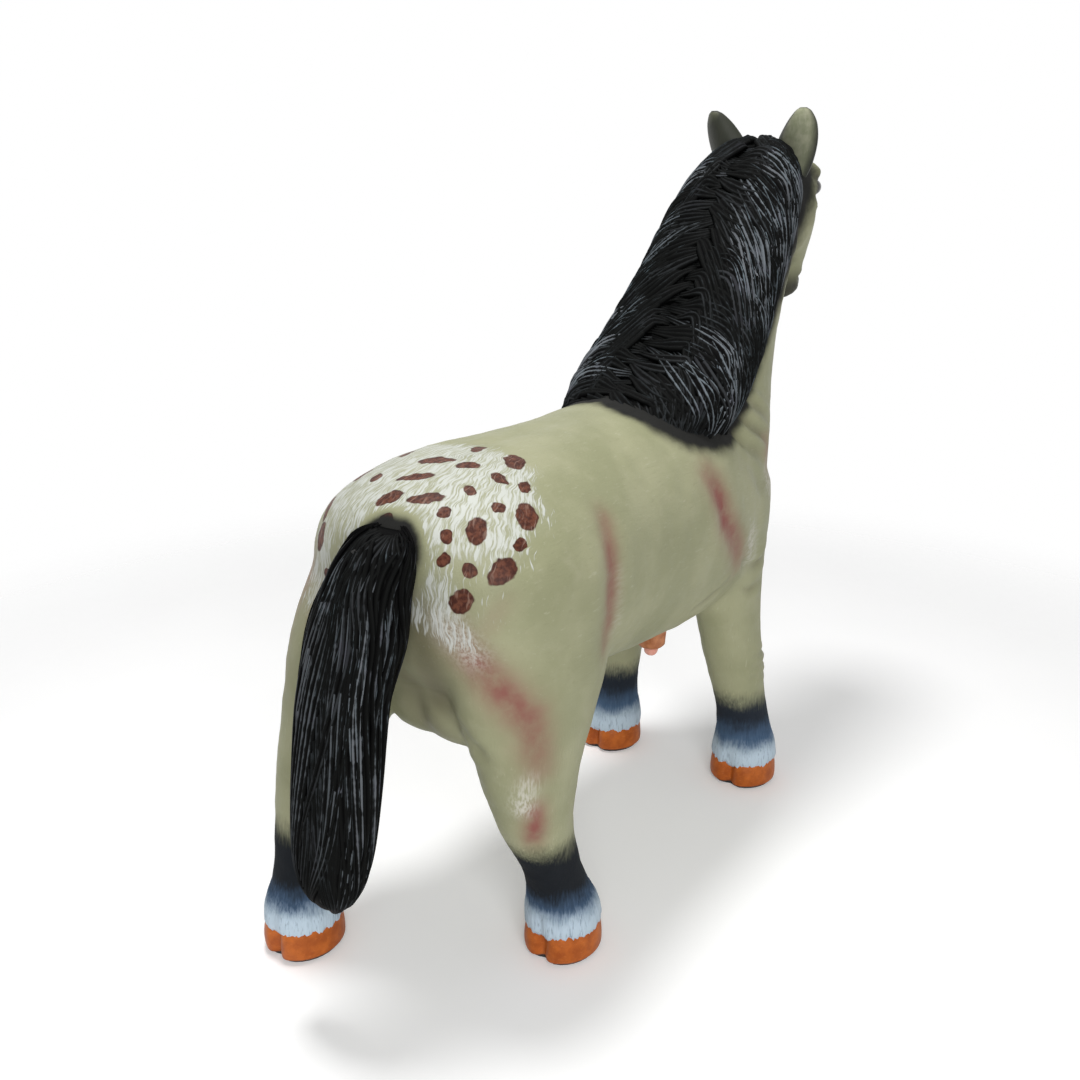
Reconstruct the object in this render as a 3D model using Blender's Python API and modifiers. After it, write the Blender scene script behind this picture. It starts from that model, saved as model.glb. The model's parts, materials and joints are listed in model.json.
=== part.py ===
"""Free-standing ride horse: moulded shells over a steel frame, with a nodding neck and a swinging tail.

Metres. The horse faces -Y, its left side is +X and up is +Z. The ground is z = 0.
"""
import math

import bmesh
import bpy
from mathutils import Matrix, Vector

# overall size
SCALE_LENGTH = 1.0
SCALE_WIDTH = 1.0
SCALE_HEIGHT = 1.0

# skins and gaps
SHELL_WALL = 0.006
FIT_GAP = 0.0003
SKIN_GAP = 0.0005
VOXEL = 0.010
SKIN_TRIANGLES = 2800

# horizontal cuts through the legs
HOOF_TOP = 0.060
LEG_TOP = 0.335 * SCALE_HEIGHT

# steel frame
FRAME_TUBE = 0.036
FRAME_WALL = 0.003
BACKBONE_Z = 0.600 * SCALE_HEIGHT
BACKBONE_REAR = 0.420 * SCALE_LENGTH
BACKBONE_FRONT = -0.285 * SCALE_LENGTH
HIP_BAR_Y = 0.345 * SCALE_LENGTH
SHOULDER_BAR_Y = -0.262 * SCALE_LENGTH
CROSSBAR_HALF = 0.125 * SCALE_WIDTH
POST_TOP_X = 0.098 * SCALE_WIDTH
POST_RADIUS = 0.011
FLANGE_RADIUS = 0.026
FLANGE_HEIGHT = 0.006

# hooves
HIND_HOOF = (0.059, 0.064)
FRONT_HOOF = (0.064, 0.066)
PAD_HEIGHT = 0.005
PAD_INSET = 0.88
BOLT_RADIUS = 0.004
BOLT_HEAD_RADIUS = 0.0075
BOLT_HEAD_HEIGHT = 0.007

# neck hinge
NECK_Y = -0.2725 * SCALE_LENGTH
NECK_Z = 0.690 * SCALE_HEIGHT
NECK_CREST = (-0.115 * SCALE_LENGTH, 0.780 * SCALE_HEIGHT)
NECK_THROAT = (-0.430 * SCALE_LENGTH, 0.600 * SCALE_HEIGHT)
NECK_GAP = 0.0175
NECK_SHAFT_RADIUS = 0.010
NECK_POST_END = 0.400 * SCALE_HEIGHT

# tail hinge
TAIL_AXIS_Y = 0.425 * SCALE_LENGTH
TAIL_STEM_Z = 0.6868 * SCALE_HEIGHT
TAIL_STEM_RADIUS = 0.008
TAIL_STEM_END = 0.548 * SCALE_LENGTH
DOCK_HOLE_RADIUS = 0.0215

# mane
MANE_THICKNESS = 0.012

# eyes
EYE_RADIUS = 0.0155
EYE_SPOT = (0.0655 * SCALE_WIDTH, -0.572 * SCALE_LENGTH, 1.116 * SCALE_HEIGHT)

# belly port
PORT_X = -0.050 * SCALE_WIDTH
PORT_Y = -0.085 * SCALE_LENGTH
PORT_Z = 0.3565 * SCALE_HEIGHT
PORT_OUTER = 0.024
PORT_BORE = 0.0125
STOPPER_DROP = 0.018

# legs: horizontal rings from the body down, (z, x, y, half width, half depth)
HIND_RIGHT = (
    (0.640, -0.085, 0.335, 0.096, 0.130),
    (0.560, -0.098, 0.335, 0.102, 0.140),
    (0.480, -0.112, 0.338, 0.088, 0.136),
    (0.420, -0.121, 0.345, 0.074, 0.115),
    (0.360, -0.123, 0.352, 0.065, 0.092),
    (0.300, -0.123, 0.350, 0.059, 0.072),
    (0.240, -0.122, 0.338, 0.052, 0.058),
    (0.180, -0.124, 0.314, 0.046, 0.050),
    (0.140, -0.126, 0.299, 0.045, 0.048),
    (0.100, -0.127, 0.286, 0.051, 0.054),
    (0.070, -0.127, 0.279, 0.053, 0.058),
    (0.035, -0.127, 0.276, 0.053, 0.058),
)
HIND_LEFT = (
    (0.640, 0.104, 0.352, 0.104, 0.132),
    (0.560, 0.130, 0.372, 0.106, 0.138),
    (0.480, 0.148, 0.400, 0.099, 0.126),
    (0.420, 0.161, 0.424, 0.088, 0.105),
    (0.360, 0.172, 0.450, 0.076, 0.085),
    (0.300, 0.180, 0.475, 0.064, 0.069),
    (0.240, 0.187, 0.493, 0.052, 0.056),
    (0.180, 0.192, 0.505, 0.046, 0.049),
    (0.140, 0.194, 0.510, 0.045, 0.047),
    (0.100, 0.196, 0.514, 0.051, 0.054),
    (0.070, 0.197, 0.515, 0.053, 0.058),
    (0.035, 0.197, 0.515, 0.053, 0.058),
)
FRONT_RIGHT = (
    (0.620, -0.080, -0.262, 0.076, 0.118),
    (0.540, -0.082, -0.272, 0.072, 0.108),
    (0.460, -0.085, -0.284, 0.062, 0.087),
    (0.400, -0.089, -0.293, 0.055, 0.073),
    (0.340, -0.094, -0.303, 0.051, 0.062),
    (0.280, -0.099, -0.313, 0.049, 0.056),
    (0.220, -0.104, -0.324, 0.048, 0.052),
    (0.160, -0.109, -0.334, 0.049, 0.051),
    (0.120, -0.112, -0.341, 0.052, 0.053),
    (0.090, -0.114, -0.346, 0.056, 0.058),
    (0.060, -0.114, -0.348, 0.058, 0.061),
    (0.035, -0.114, -0.348, 0.058, 0.061),
)
FRONT_LEFT = (
    (0.620, 0.088, -0.255, 0.078, 0.120),
    (0.540, 0.100, -0.262, 0.076, 0.110),
    (0.460, 0.114, -0.270, 0.068, 0.090),
    (0.400, 0.126, -0.277, 0.061, 0.076),
    (0.340, 0.137, -0.284, 0.056, 0.064),
    (0.280, 0.148, -0.290, 0.053, 0.058),
    (0.220, 0.157, -0.296, 0.050, 0.053),
    (0.160, 0.166, -0.302, 0.049, 0.051),
    (0.120, 0.171, -0.305, 0.052, 0.053),
    (0.090, 0.174, -0.307, 0.056, 0.058),
    (0.060, 0.176, -0.308, 0.058, 0.061),
    (0.035, 0.176, -0.308, 0.058, 0.061),
)
LEGS = {
    "hind_right": (HIND_RIGHT, HIND_HOOF, HIP_BAR_Y),
    "hind_left": (HIND_LEFT, HIND_HOOF, HIP_BAR_Y),
    "front_right": (FRONT_RIGHT, FRONT_HOOF, SHOULDER_BAR_Y),
    "front_left": (FRONT_LEFT, FRONT_HOOF, SHOULDER_BAR_Y),
}

# trunk: rings square to Y, (y, x, z, half width, half height)
TRUNK = (
    (0.505, 0.006, 0.634, 0.062, 0.062),
    (0.495, 0.008, 0.627, 0.112, 0.091),
    (0.470, 0.009, 0.616, 0.162, 0.124),
    (0.425, 0.009, 0.607, 0.198, 0.154),
    (0.335, 0.006, 0.601, 0.212, 0.179),
    (0.220, 0.002, 0.598, 0.198, 0.184),
    (0.100, 0.000, 0.586, 0.186, 0.190),
    (-0.020, 0.000, 0.580, 0.182, 0.198),
    (-0.140, 0.000, 0.580, 0.177, 0.208),
    (-0.250, 0.000, 0.568, 0.160, 0.188),
    (-0.345, 0.000, 0.560, 0.134, 0.158),
    (-0.410, 0.000, 0.552, 0.098, 0.118),
    (-0.438, 0.000, 0.548, 0.055, 0.065),
)

# neck: (crest y, crest z, throat y, throat z, half width)
NECK = (
    (-0.050, 0.700, -0.395, 0.480, 0.146),
    (-0.105, 0.795, -0.425, 0.610, 0.144),
    (-0.195, 0.872, -0.437, 0.725, 0.122),
    (-0.272, 0.960, -0.468, 0.830, 0.104),
    (-0.340, 1.045, -0.508, 0.930, 0.096),
    (-0.405, 1.120, -0.540, 1.010, 0.090),
    (-0.455, 1.165, -0.560, 1.070, 0.078),
    (-0.485, 1.175, -0.545, 1.120, 0.045),
)

# head: (forehead y, forehead z, jaw y, jaw z, half width)
HEAD = (
    (-0.503, 1.188, -0.460, 1.150, 0.045),
    (-0.548, 1.182, -0.455, 1.115, 0.072),
    (-0.595, 1.145, -0.465, 1.060, 0.086),
    (-0.618, 1.085, -0.480, 1.003, 0.076),
    (-0.626, 1.025, -0.524, 0.970, 0.059),
    (-0.627, 0.975, -0.554, 0.937, 0.049),
    (-0.624, 0.940, -0.566, 0.910, 0.046),
    (-0.610, 0.918, -0.584, 0.905, 0.024),
)

# ears: (x, y, z, half width, half depth), left ear
EAR = (
    (0.044, -0.500, 1.115, 0.024, 0.013),
    (0.054, -0.497, 1.150, 0.032, 0.015),
    (0.066, -0.488, 1.190, 0.036, 0.014),
    (0.077, -0.480, 1.225, 0.024, 0.010),
    (0.083, -0.475, 1.250, 0.004, 0.003),
)

# tail: horizontal rings, (z, x, y, half width, half depth)
TAIL = (
    (0.724, -0.014, 0.522, 0.018, 0.011),
    (0.714, -0.016, 0.527, 0.034, 0.019),
    (0.692, -0.017, 0.534, 0.047, 0.026),
    (0.650, -0.014, 0.545, 0.059, 0.030),
    (0.590, -0.003, 0.557, 0.070, 0.032),
    (0.500, 0.012, 0.573, 0.068, 0.032),
    (0.400, 0.013, 0.589, 0.067, 0.032),
    (0.310, 0.018, 0.599, 0.066, 0.031),
    (0.255, 0.023, 0.605, 0.061, 0.029),
    (0.222, 0.025, 0.609, 0.048, 0.024),
    (0.204, 0.025, 0.611, 0.028, 0.015),
    (0.198, 0.025, 0.612, 0.010, 0.007),
)

# mane bulk along the crest: (outer y, outer z, inner y, inner z, half width)
MANE_BULK = (
    (0.004, 0.768, -0.130, 0.660, 0.112),
    (-0.085, 0.822, -0.205, 0.728, 0.143),
    (-0.172, 0.896, -0.290, 0.810, 0.141),
    (-0.248, 0.984, -0.370, 0.895, 0.133),
    (-0.316, 1.066, -0.430, 0.985, 0.125),
    (-0.384, 1.140, -0.480, 1.060, 0.111),
    (-0.446, 1.187, -0.512, 1.110, 0.084),
    (-0.484, 1.196, -0.520, 1.150, 0.046),
)

# mane outline in side view, (y, z)
MANE_OUTLINE = (
    (-0.505, 1.300),
    (-0.300, 1.300),
    (0.020, 0.950),
    (0.020, 0.740),
    (-0.215, 0.660),
    (-0.320, 0.760),
    (-0.400, 0.860),
    (-0.455, 0.960),
    (-0.490, 1.060),
    (-0.505, 1.150),
)

PAINT = (0.35, 0.36, 0.23, 1.0)
BLACK_HAIR = (0.02, 0.022, 0.02, 1.0)
HOOF_ORANGE = (0.42, 0.10, 0.02, 1.0)
STEEL = (0.30, 0.31, 0.32, 1.0)
RUBBER = (0.025, 0.025, 0.025, 1.0)
PLY = (0.45, 0.32, 0.18, 1.0)
PLASTIC = (0.10, 0.11, 0.12, 1.0)
SKIN_PINK = (0.48, 0.18, 0.14, 1.0)


def clear():
    for ob in list(bpy.data.objects):
        bpy.data.objects.remove(ob, do_unlink=True)
    for mesh in list(bpy.data.meshes):
        bpy.data.meshes.remove(mesh)


def grown(point):
    """A point of the moulded skin after the overall size factors."""
    return Vector((point[0] * SCALE_WIDTH, point[1] * SCALE_LENGTH, point[2] * SCALE_HEIGHT))


def new_object(name, mesh):
    ob = bpy.data.objects.new(name, mesh)
    bpy.context.scene.collection.objects.link(ob)
    return ob


def from_bmesh(name, bm):
    bmesh.ops.recalc_face_normals(bm, faces=bm.faces)
    mesh = bpy.data.meshes.new(name)
    bm.to_mesh(mesh)
    bm.free()
    return new_object(name, mesh)


def bake(ob):
    """Replace the mesh of ob by its evaluated mesh and drop the modifiers."""
    graph = bpy.context.evaluated_depsgraph_get()
    fresh = bpy.data.meshes.new_from_object(ob.evaluated_get(graph))
    ob.modifiers.clear()
    old = ob.data
    ob.data = fresh
    bpy.data.meshes.remove(old)
    return ob


def discard(*items):
    for ob in items:
        mesh = ob.data
        bpy.data.objects.remove(ob, do_unlink=True)
        bpy.data.meshes.remove(mesh)


def boolean(ob, other, operation, keep=False):
    mod = ob.modifiers.new("Cut", "BOOLEAN")
    mod.operation = operation
    mod.solver = "EXACT"
    mod.object = other
    bpy.context.view_layer.update()
    bake(ob)
    if not keep:
        discard(other)
    return ob


def cut(ob, other, keep=False):
    return boolean(ob, other, "DIFFERENCE", keep)


def common(ob, other, keep=False):
    return boolean(ob, other, "INTERSECT", keep)


def joined(ob, other, keep=False):
    return boolean(ob, other, "UNION", keep)


def copy_of(ob, name):
    return new_object(name, ob.data.copy())


def loft(name, rings):
    """A closed solid through rings with the same number of points."""
    bm = bmesh.new()
    loops = []
    for ring in rings:
        loops.append([bm.verts.new(point) for point in ring])
    count = len(rings[0])
    for low, high in zip(loops, loops[1:]):
        for i in range(count):
            j = (i + 1) % count
            bm.faces.new((low[i], low[j], high[j], high[i]))
    bm.faces.new(list(reversed(loops[0])))
    bm.faces.new(loops[-1])
    return from_bmesh(name, bm)


def cross_ring(y, x, z, half_width, half_height, count=28):
    ring = []
    for i in range(count):
        angle = 2.0 * math.pi * i / count
        c = math.cos(angle)
        s = math.sin(angle)
        side = math.copysign(abs(c) ** 0.90, c) * half_width
        up = math.copysign(abs(s) ** 0.92, s) * half_height
        ring.append(grown((x + side, y, z + up)))
    return ring


def flat_ring(z, x, y, half_width, half_depth, count=20, grow=True):
    ring = []
    for i in range(count):
        angle = 2.0 * math.pi * i / count
        point = Vector((x + half_width * math.cos(angle), y + half_depth * math.sin(angle), z))
        ring.append(grown(point) if grow else point)
    return ring


def span_ring(y1, z1, y2, z2, half_width, count=24):
    """An oval whose long axis runs between two points of the side view."""
    ring = []
    for i in range(count):
        angle = 2.0 * math.pi * i / count
        c = math.cos(angle)
        y = 0.5 * (y1 + y2) + 0.5 * (y1 - y2) * c
        z = 0.5 * (z1 + z2) + 0.5 * (z1 - z2) * c
        ring.append(grown((half_width * math.sin(angle), y, z)))
    return ring


def boxy_ring(y1, z1, y2, z2, half_width, count=24):
    """Like span_ring but fuller at the corners."""
    ring = []
    for i in range(count):
        angle = 2.0 * math.pi * i / count
        c = math.copysign(abs(math.cos(angle)) ** 0.8, math.cos(angle))
        s = math.copysign(abs(math.sin(angle)) ** 0.8, math.sin(angle))
        y = 0.5 * (y1 + y2) + 0.5 * (y1 - y2) * c
        z = 0.5 * (z1 + z2) + 0.5 * (z1 - z2) * c
        ring.append(grown((half_width * s, y, z)))
    return ring


def box(name, low, high):
    bm = bmesh.new()
    bmesh.ops.create_cube(bm, size=1.0)
    for vert in bm.verts:
        for axis in range(3):
            vert.co[axis] = low[axis] if vert.co[axis] < 0.0 else high[axis]
    return from_bmesh(name, bm)


def rod(name, start, end, radius, count=20):
    """A round bar between two points."""
    start = Vector(start)
    end = Vector(end)
    along = end - start
    turn = along.to_track_quat("Z", "Y").to_matrix()
    rings = []
    for centre in (start, end):
        ring = []
        for i in range(count):
            angle = 2.0 * math.pi * (i + 0.5) / count
            spoke = Vector((radius * math.cos(angle), radius * math.sin(angle), 0.0))
            ring.append(centre + turn @ spoke)
        rings.append(ring)
    return loft(name, rings)


def lathe(name, centre, profile, count=20):
    """A solid turned about a vertical axis, profile as (radius, z)."""
    rings = []
    for radius, z in profile:
        rings.append(flat_ring(z, centre[0], centre[1], radius, radius, count, False))
    return loft(name, rings)


def ball(name, centre, radius, columns=20, rows=12):
    bm = bmesh.new()
    bmesh.ops.create_uvsphere(bm, u_segments=columns, v_segments=rows, radius=radius)
    bmesh.ops.translate(bm, verts=bm.verts, vec=Vector(centre))
    return from_bmesh(name, bm)


def half_space(name, point, normal, size=3.0):
    """A large block on the side of a plane that its normal points to."""
    bm = bmesh.new()
    bmesh.ops.create_cube(bm, size=size)
    bmesh.ops.translate(bm, verts=bm.verts, vec=Vector((0.0, 0.0, 0.5 * size)))
    turn = Vector(normal).to_track_quat("Z", "X").to_matrix().to_4x4()
    bmesh.ops.transform(bm, matrix=Matrix.Translation(Vector(point)) @ turn, verts=bm.verts)
    return from_bmesh(name, bm)


def prism(name, outline, half_width):
    """A side-view outline carried across the width."""
    rings = []
    for x in (-half_width, half_width):
        rings.append([grown((x, y, z)) for y, z in outline])
    return loft(name, rings)


def square_tube(name, low, high, axis):
    ob = box(name, low, high)
    inner_low = [value + FRAME_WALL for value in low]
    inner_high = [value - FRAME_WALL for value in high]
    inner_low[axis] = low[axis] - 0.01
    inner_high[axis] = high[axis] + 0.01
    return cut(ob, box("bore", inner_low, inner_high))


def moved_skin(skin, distance, name):
    """The skin with every vertex moved along its normal."""
    mesh = skin.data.copy()
    normals = [vert.normal.copy() for vert in skin.data.vertices]
    for vert, normal in zip(mesh.vertices, normals):
        vert.co = vert.co + normal * distance
    return new_object(name, mesh)


def make_skin():
    """The outside of the whole moulded horse as one closed surface."""
    parts = []
    parts.append(loft("trunk", [cross_ring(*ring) for ring in TRUNK]))
    parts.append(loft("neck", [span_ring(*ring) for ring in NECK]))
    parts.append(loft("head", [span_ring(*ring) for ring in HEAD]))
    for rings, _, _ in LEGS.values():
        parts.append(loft("leg", [flat_ring(*ring) for ring in rings]))
    for side in (-1.0, 1.0):
        parts.append(ball("thigh", grown((side * 0.105 + 0.007, 0.345, 0.500)), 0.104))
        parts.append(ball("shoulder", grown((side * 0.078, -0.262, 0.560)), 0.084))
        parts.append(ball("groin", grown((side * 0.030, 0.370, 0.446)), 0.082))
        parts.append(ball("cheek", grown((side * 0.036, -0.520, 1.040)), 0.049))
        parts.append(ball("brow", grown((side * 0.055, -0.575, 1.138)), 0.031))
    bm = bmesh.new()
    for part in parts:
        bm.from_mesh(part.data)
    discard(*parts)
    skin = from_bmesh("skin", bm)
    mod = skin.modifiers.new("Blend", "REMESH")
    mod.mode = "VOXEL"
    mod.voxel_size = VOXEL
    bake(skin)
    mod = skin.modifiers.new("Soften", "SMOOTH")
    mod.factor = 0.5
    mod.iterations = 14
    bake(skin)
    triangles = sum(len(face.vertices) - 2 for face in skin.data.polygons)
    mod = skin.modifiers.new("Thin", "DECIMATE")
    mod.ratio = SKIN_TRIANGLES / triangles
    bake(skin)
    bm = bmesh.new()
    bm.from_mesh(skin.data)
    bmesh.ops.triangulate(bm, faces=bm.faces)
    bm.to_mesh(skin.data)
    bm.free()
    return skin


def make_wall(skin):
    """Outer and inner skin together: a wall with a hollow inside."""
    inner = moved_skin(skin, -SHELL_WALL, "inner")
    bm = bmesh.new()
    bm.from_mesh(inner.data)
    bmesh.ops.reverse_faces(bm, faces=bm.faces)
    bm.from_mesh(skin.data)
    mesh = bpy.data.meshes.new("wall")
    bm.to_mesh(mesh)
    bm.free()
    discard(inner)
    return new_object("wall", mesh)


def neck_normal():
    along = Vector((0.0, NECK_CREST[0] - NECK_THROAT[0], NECK_CREST[1] - NECK_THROAT[1]))
    along.normalize()
    return Vector((0.0, -along.z, along.y))


def neck_side(name, offset, up=True):
    """The block on one side of the neck joint plane, moved along its normal."""
    normal = neck_normal()
    point = Vector((0.0, NECK_Y, NECK_Z)) + normal * offset
    return half_space(name, point, normal if up else -normal)


HEAD_SEAM = Vector((0.0, -0.480 * SCALE_LENGTH, 1.0875 * SCALE_HEIGHT))
HEAD_SEAM_NORMAL = Vector((0.0, -0.9815, 0.1915))


def make_shells(skin, wall, nodes):
    torso = copy_of(wall, "torso_shell")
    cut(torso, box("floor", (-1.0, -1.5, -0.5), (1.0, 1.5, LEG_TOP)))
    cut(torso, neck_side("above", -NECK_GAP))
    dock = (0.0, TAIL_AXIS_Y + 0.02, TAIL_STEM_Z)
    far = (0.0, 0.62 * SCALE_LENGTH, TAIL_STEM_Z)
    cut(torso, rod("dock", dock, far, DOCK_HOLE_RADIUS, 24))
    low = (PORT_X, PORT_Y, PORT_Z - 0.0565)
    high = (PORT_X, PORT_Y, PORT_Z + 0.0835)
    cut(torso, rod("port", low, high, PORT_BORE + FIT_GAP, 20))
    nodes["torso_shell"] = torso

    neck = copy_of(wall, "neck_shell")
    common(neck, neck_side("above", 0.0))
    cut(neck, half_space("front", HEAD_SEAM, HEAD_SEAM_NORMAL))
    nodes["neck_shell"] = neck

    head = copy_of(wall, "head_shell")
    common(head, neck_side("above", 0.0))
    seam = HEAD_SEAM + HEAD_SEAM_NORMAL * FIT_GAP
    common(head, half_space("front", seam, HEAD_SEAM_NORMAL))
    for side in (-1.0, 1.0):
        spot = (side * EYE_SPOT[0], EYE_SPOT[1], EYE_SPOT[2])
        cut(head, ball("socket", spot, EYE_RADIUS + FIT_GAP))
    nodes["head_shell"] = head

    for name, (rings, _, _) in LEGS.items():
        side = 1.0 if rings[-1][1] > 0.0 else -1.0
        back = rings[-1][2] > 0.0
        low = (0.0 if side > 0 else -1.0, 0.05 if back else -1.0, HOOF_TOP + FIT_GAP)
        high = (1.0 if side > 0 else 0.0, 1.5 if back else 0.05, LEG_TOP - FIT_GAP)
        leg = copy_of(wall, "leg_shell_" + name)
        common(leg, box("zone", low, high))
        nodes["leg_shell_" + name] = leg


def neck_slice(ob, low, high):
    """Keep only the slice of ob between two planes square to the neck."""
    normal = neck_normal()
    hinge = Vector((0.0, NECK_Y, NECK_Z))
    bm = bmesh.new()
    bm.from_mesh(ob.data)
    for offset, side in ((low, -1.0), (high, 1.0)):
        parts = bm.verts[:] + bm.edges[:] + bm.faces[:]
        bmesh.ops.bisect_plane(bm, geom=parts, plane_co=hinge + normal * offset,
                               plane_no=normal * side, clear_outer=True)
        rim = [edge for edge in bm.edges if edge.is_boundary]
        bmesh.ops.holes_fill(bm, edges=rim, sides=0)
    bmesh.ops.recalc_face_normals(bm, faces=bm.faces)
    bm.to_mesh(ob.data)
    bm.free()
    return ob


def make_sleeve(skin, nodes):
    """A rubber gaiter inside the gap between neck and trunk."""
    sleeve = moved_skin(skin, -SHELL_WALL - SKIN_GAP, "neck_sleeve")
    neck_slice(sleeve, -0.042, -NECK_GAP - 0.0025)
    upper = moved_skin(skin, -0.0190, "upper")
    neck_slice(upper, -0.041, 0.012)
    joined(sleeve, upper)
    hollow = moved_skin(skin, -0.0230, "hollow")
    neck_slice(hollow, -0.060, 0.030)
    cut(sleeve, hollow)
    nodes["neck_sleeve"] = sleeve


def make_hair(skin, nodes):
    outside = moved_skin(skin, SKIN_GAP, "outside")
    mane = moved_skin(skin, MANE_THICKNESS, "mane")
    joined(mane, loft("bulk", [boxy_ring(*ring) for ring in MANE_BULK]))
    common(mane, prism("zone", MANE_OUTLINE, 0.30))
    cut(mane, outside, keep=True)
    common(mane, neck_side("over", 0.005))
    for side in (-1.0, 1.0):
        inner = side * (EAR[0][0] * SCALE_WIDTH - 0.025)
        low = grown((0.0, -0.600, 1.125))
        high = grown((0.0, -0.455, 1.400))
        cut(mane, box("ear gap", (min(inner, side * 0.3), low.y, low.z),
                      (max(inner, side * 0.3), high.y, high.z)))
    nodes["mane"] = mane

    fringe = []
    for y, z, half, deep in (
        (-0.505, 1.190, 0.012, 0.012),
        (-0.530, 1.192, 0.022, 0.016),
        (-0.562, 1.172, 0.026, 0.016),
        (-0.586, 1.140, 0.022, 0.016),
        (-0.602, 1.098, 0.012, 0.014),
        (-0.608, 1.078, 0.004, 0.010),
    ):
        fringe.append(span_ring(y, z + deep, y + 0.004, z - deep, half, 14))
    forelock = loft("forelock", fringe)
    cut(forelock, outside, keep=True)
    behind = grown((0.0, -0.5135, 1.2))
    cut(forelock, half_space("behind", behind, (0.0, 1.0, 0.0)))
    nodes["forelock"] = forelock

    for name, side in (("ear_left", 1.0), ("ear_right", -1.0)):
        rings = []
        for x, y, z, half_width, half_depth in EAR:
            rings.append(flat_ring(z, side * x, y, half_width, half_depth, 16))
        ear = loft(name, rings)
        cut(ear, outside, keep=True)
        nodes[name] = ear
    return outside


def make_face(nodes):
    for name, side in (("eye_left", 1.0), ("eye_right", -1.0)):
        spot = (side * EYE_SPOT[0], EYE_SPOT[1], EYE_SPOT[2])
        nodes[name] = ball(name, spot, EYE_RADIUS)


def hoof_ring(z, x, y, half_width, half_depth, factor, count=32):
    """A hoof outline with two bulbs and a notch at the heel."""
    ring = []
    for i in range(count):
        angle = 2.0 * math.pi * i / count
        turn = math.atan2(math.sin(angle), math.cos(angle))
        notch = 1.0 - 0.17 * math.exp(-(turn / 0.24) ** 2)
        reach = factor * notch
        side = x + half_width * reach * math.sin(angle)
        ring.append(Vector((side, y + half_depth * reach * math.cos(angle), z)))
    return ring


def make_feet(nodes):
    for name, (rings, hoof_size, bar_y) in LEGS.items():
        x = rings[-1][1] * SCALE_WIDTH
        y = rings[-1][2] * SCALE_LENGTH
        base = PAD_HEIGHT + FIT_GAP
        levels = (
            (base, 0.985),
            (base + 0.004, 1.0),
            (0.034, 0.985),
            (0.054, 0.965),
            (HOOF_TOP, 0.945),
        )
        outline = []
        for z, factor in levels:
            outline.append(hoof_ring(z, x, y, hoof_size[0], hoof_size[1], factor))
        hoof = loft("hoof_" + name, outline)
        head_top = 0.0062 + BOLT_HEAD_HEIGHT
        cut(hoof, rod("bore", (x, y, -0.01), (x, y, 0.09), BOLT_RADIUS + FIT_GAP, 12))
        cut(hoof, rod("seat", (x, y, -0.01), (x, y, head_top + FIT_GAP), 0.009, 16))
        nodes["hoof_" + name] = hoof

        pad_low = hoof_ring(0.0, x, y, hoof_size[0], hoof_size[1], PAD_INSET)
        pad_high = hoof_ring(PAD_HEIGHT, x, y, hoof_size[0], hoof_size[1], PAD_INSET)
        pad = loft("sole_pad_" + name, [pad_low, pad_high])
        cut(pad, rod("bore", (x, y, -0.01), (x, y, 0.02), 0.0095, 16))
        nodes["sole_pad_" + name] = pad

        bolt = lathe("hoof_bolt_" + name, (x, y), (
            (BOLT_HEAD_RADIUS, 0.0062),
            (BOLT_HEAD_RADIUS, head_top),
            (BOLT_RADIUS, head_top + 0.00001),
            (BOLT_RADIUS, 0.077),
        ), 12)
        nodes["hoof_bolt_" + name] = bolt

        side = 1.0 if x > 0.0 else -1.0
        foot = HOOF_TOP + FIT_GAP
        post_rings = [
            flat_ring(foot, x, y, FLANGE_RADIUS, FLANGE_RADIUS, 16, False),
            flat_ring(foot + FLANGE_HEIGHT, x, y, FLANGE_RADIUS, FLANGE_RADIUS, 16, False),
            flat_ring(foot + FLANGE_HEIGHT + 0.001, x, y, POST_RADIUS, POST_RADIUS, 16, False),
        ]
        for z, cx, cy, _, _ in reversed(rings):
            if 0.09 < z < 0.50:
                spot = grown((cx, cy, z))
                post_rings.append(
                    flat_ring(spot.z, spot.x, spot.y, POST_RADIUS, POST_RADIUS, 16, False)
                )
        top = BACKBONE_Z - FRAME_TUBE - 2.0 * FIT_GAP
        px = side * POST_TOP_X
        post_rings.append(flat_ring(top - 0.008, px, bar_y, POST_RADIUS, POST_RADIUS, 16, False))
        post_rings.append(flat_ring(top - 0.006, px, bar_y, 0.016, 0.016, 16, False))
        post_rings.append(flat_ring(top, px, bar_y, 0.016, 0.016, 16, False))
        post = loft("leg_post_" + name, post_rings)
        cut(post, rod("bore", (x, y, 0.03), (x, y, 0.080), BOLT_RADIUS + FIT_GAP, 12))
        nodes["leg_post_" + name] = post


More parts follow.
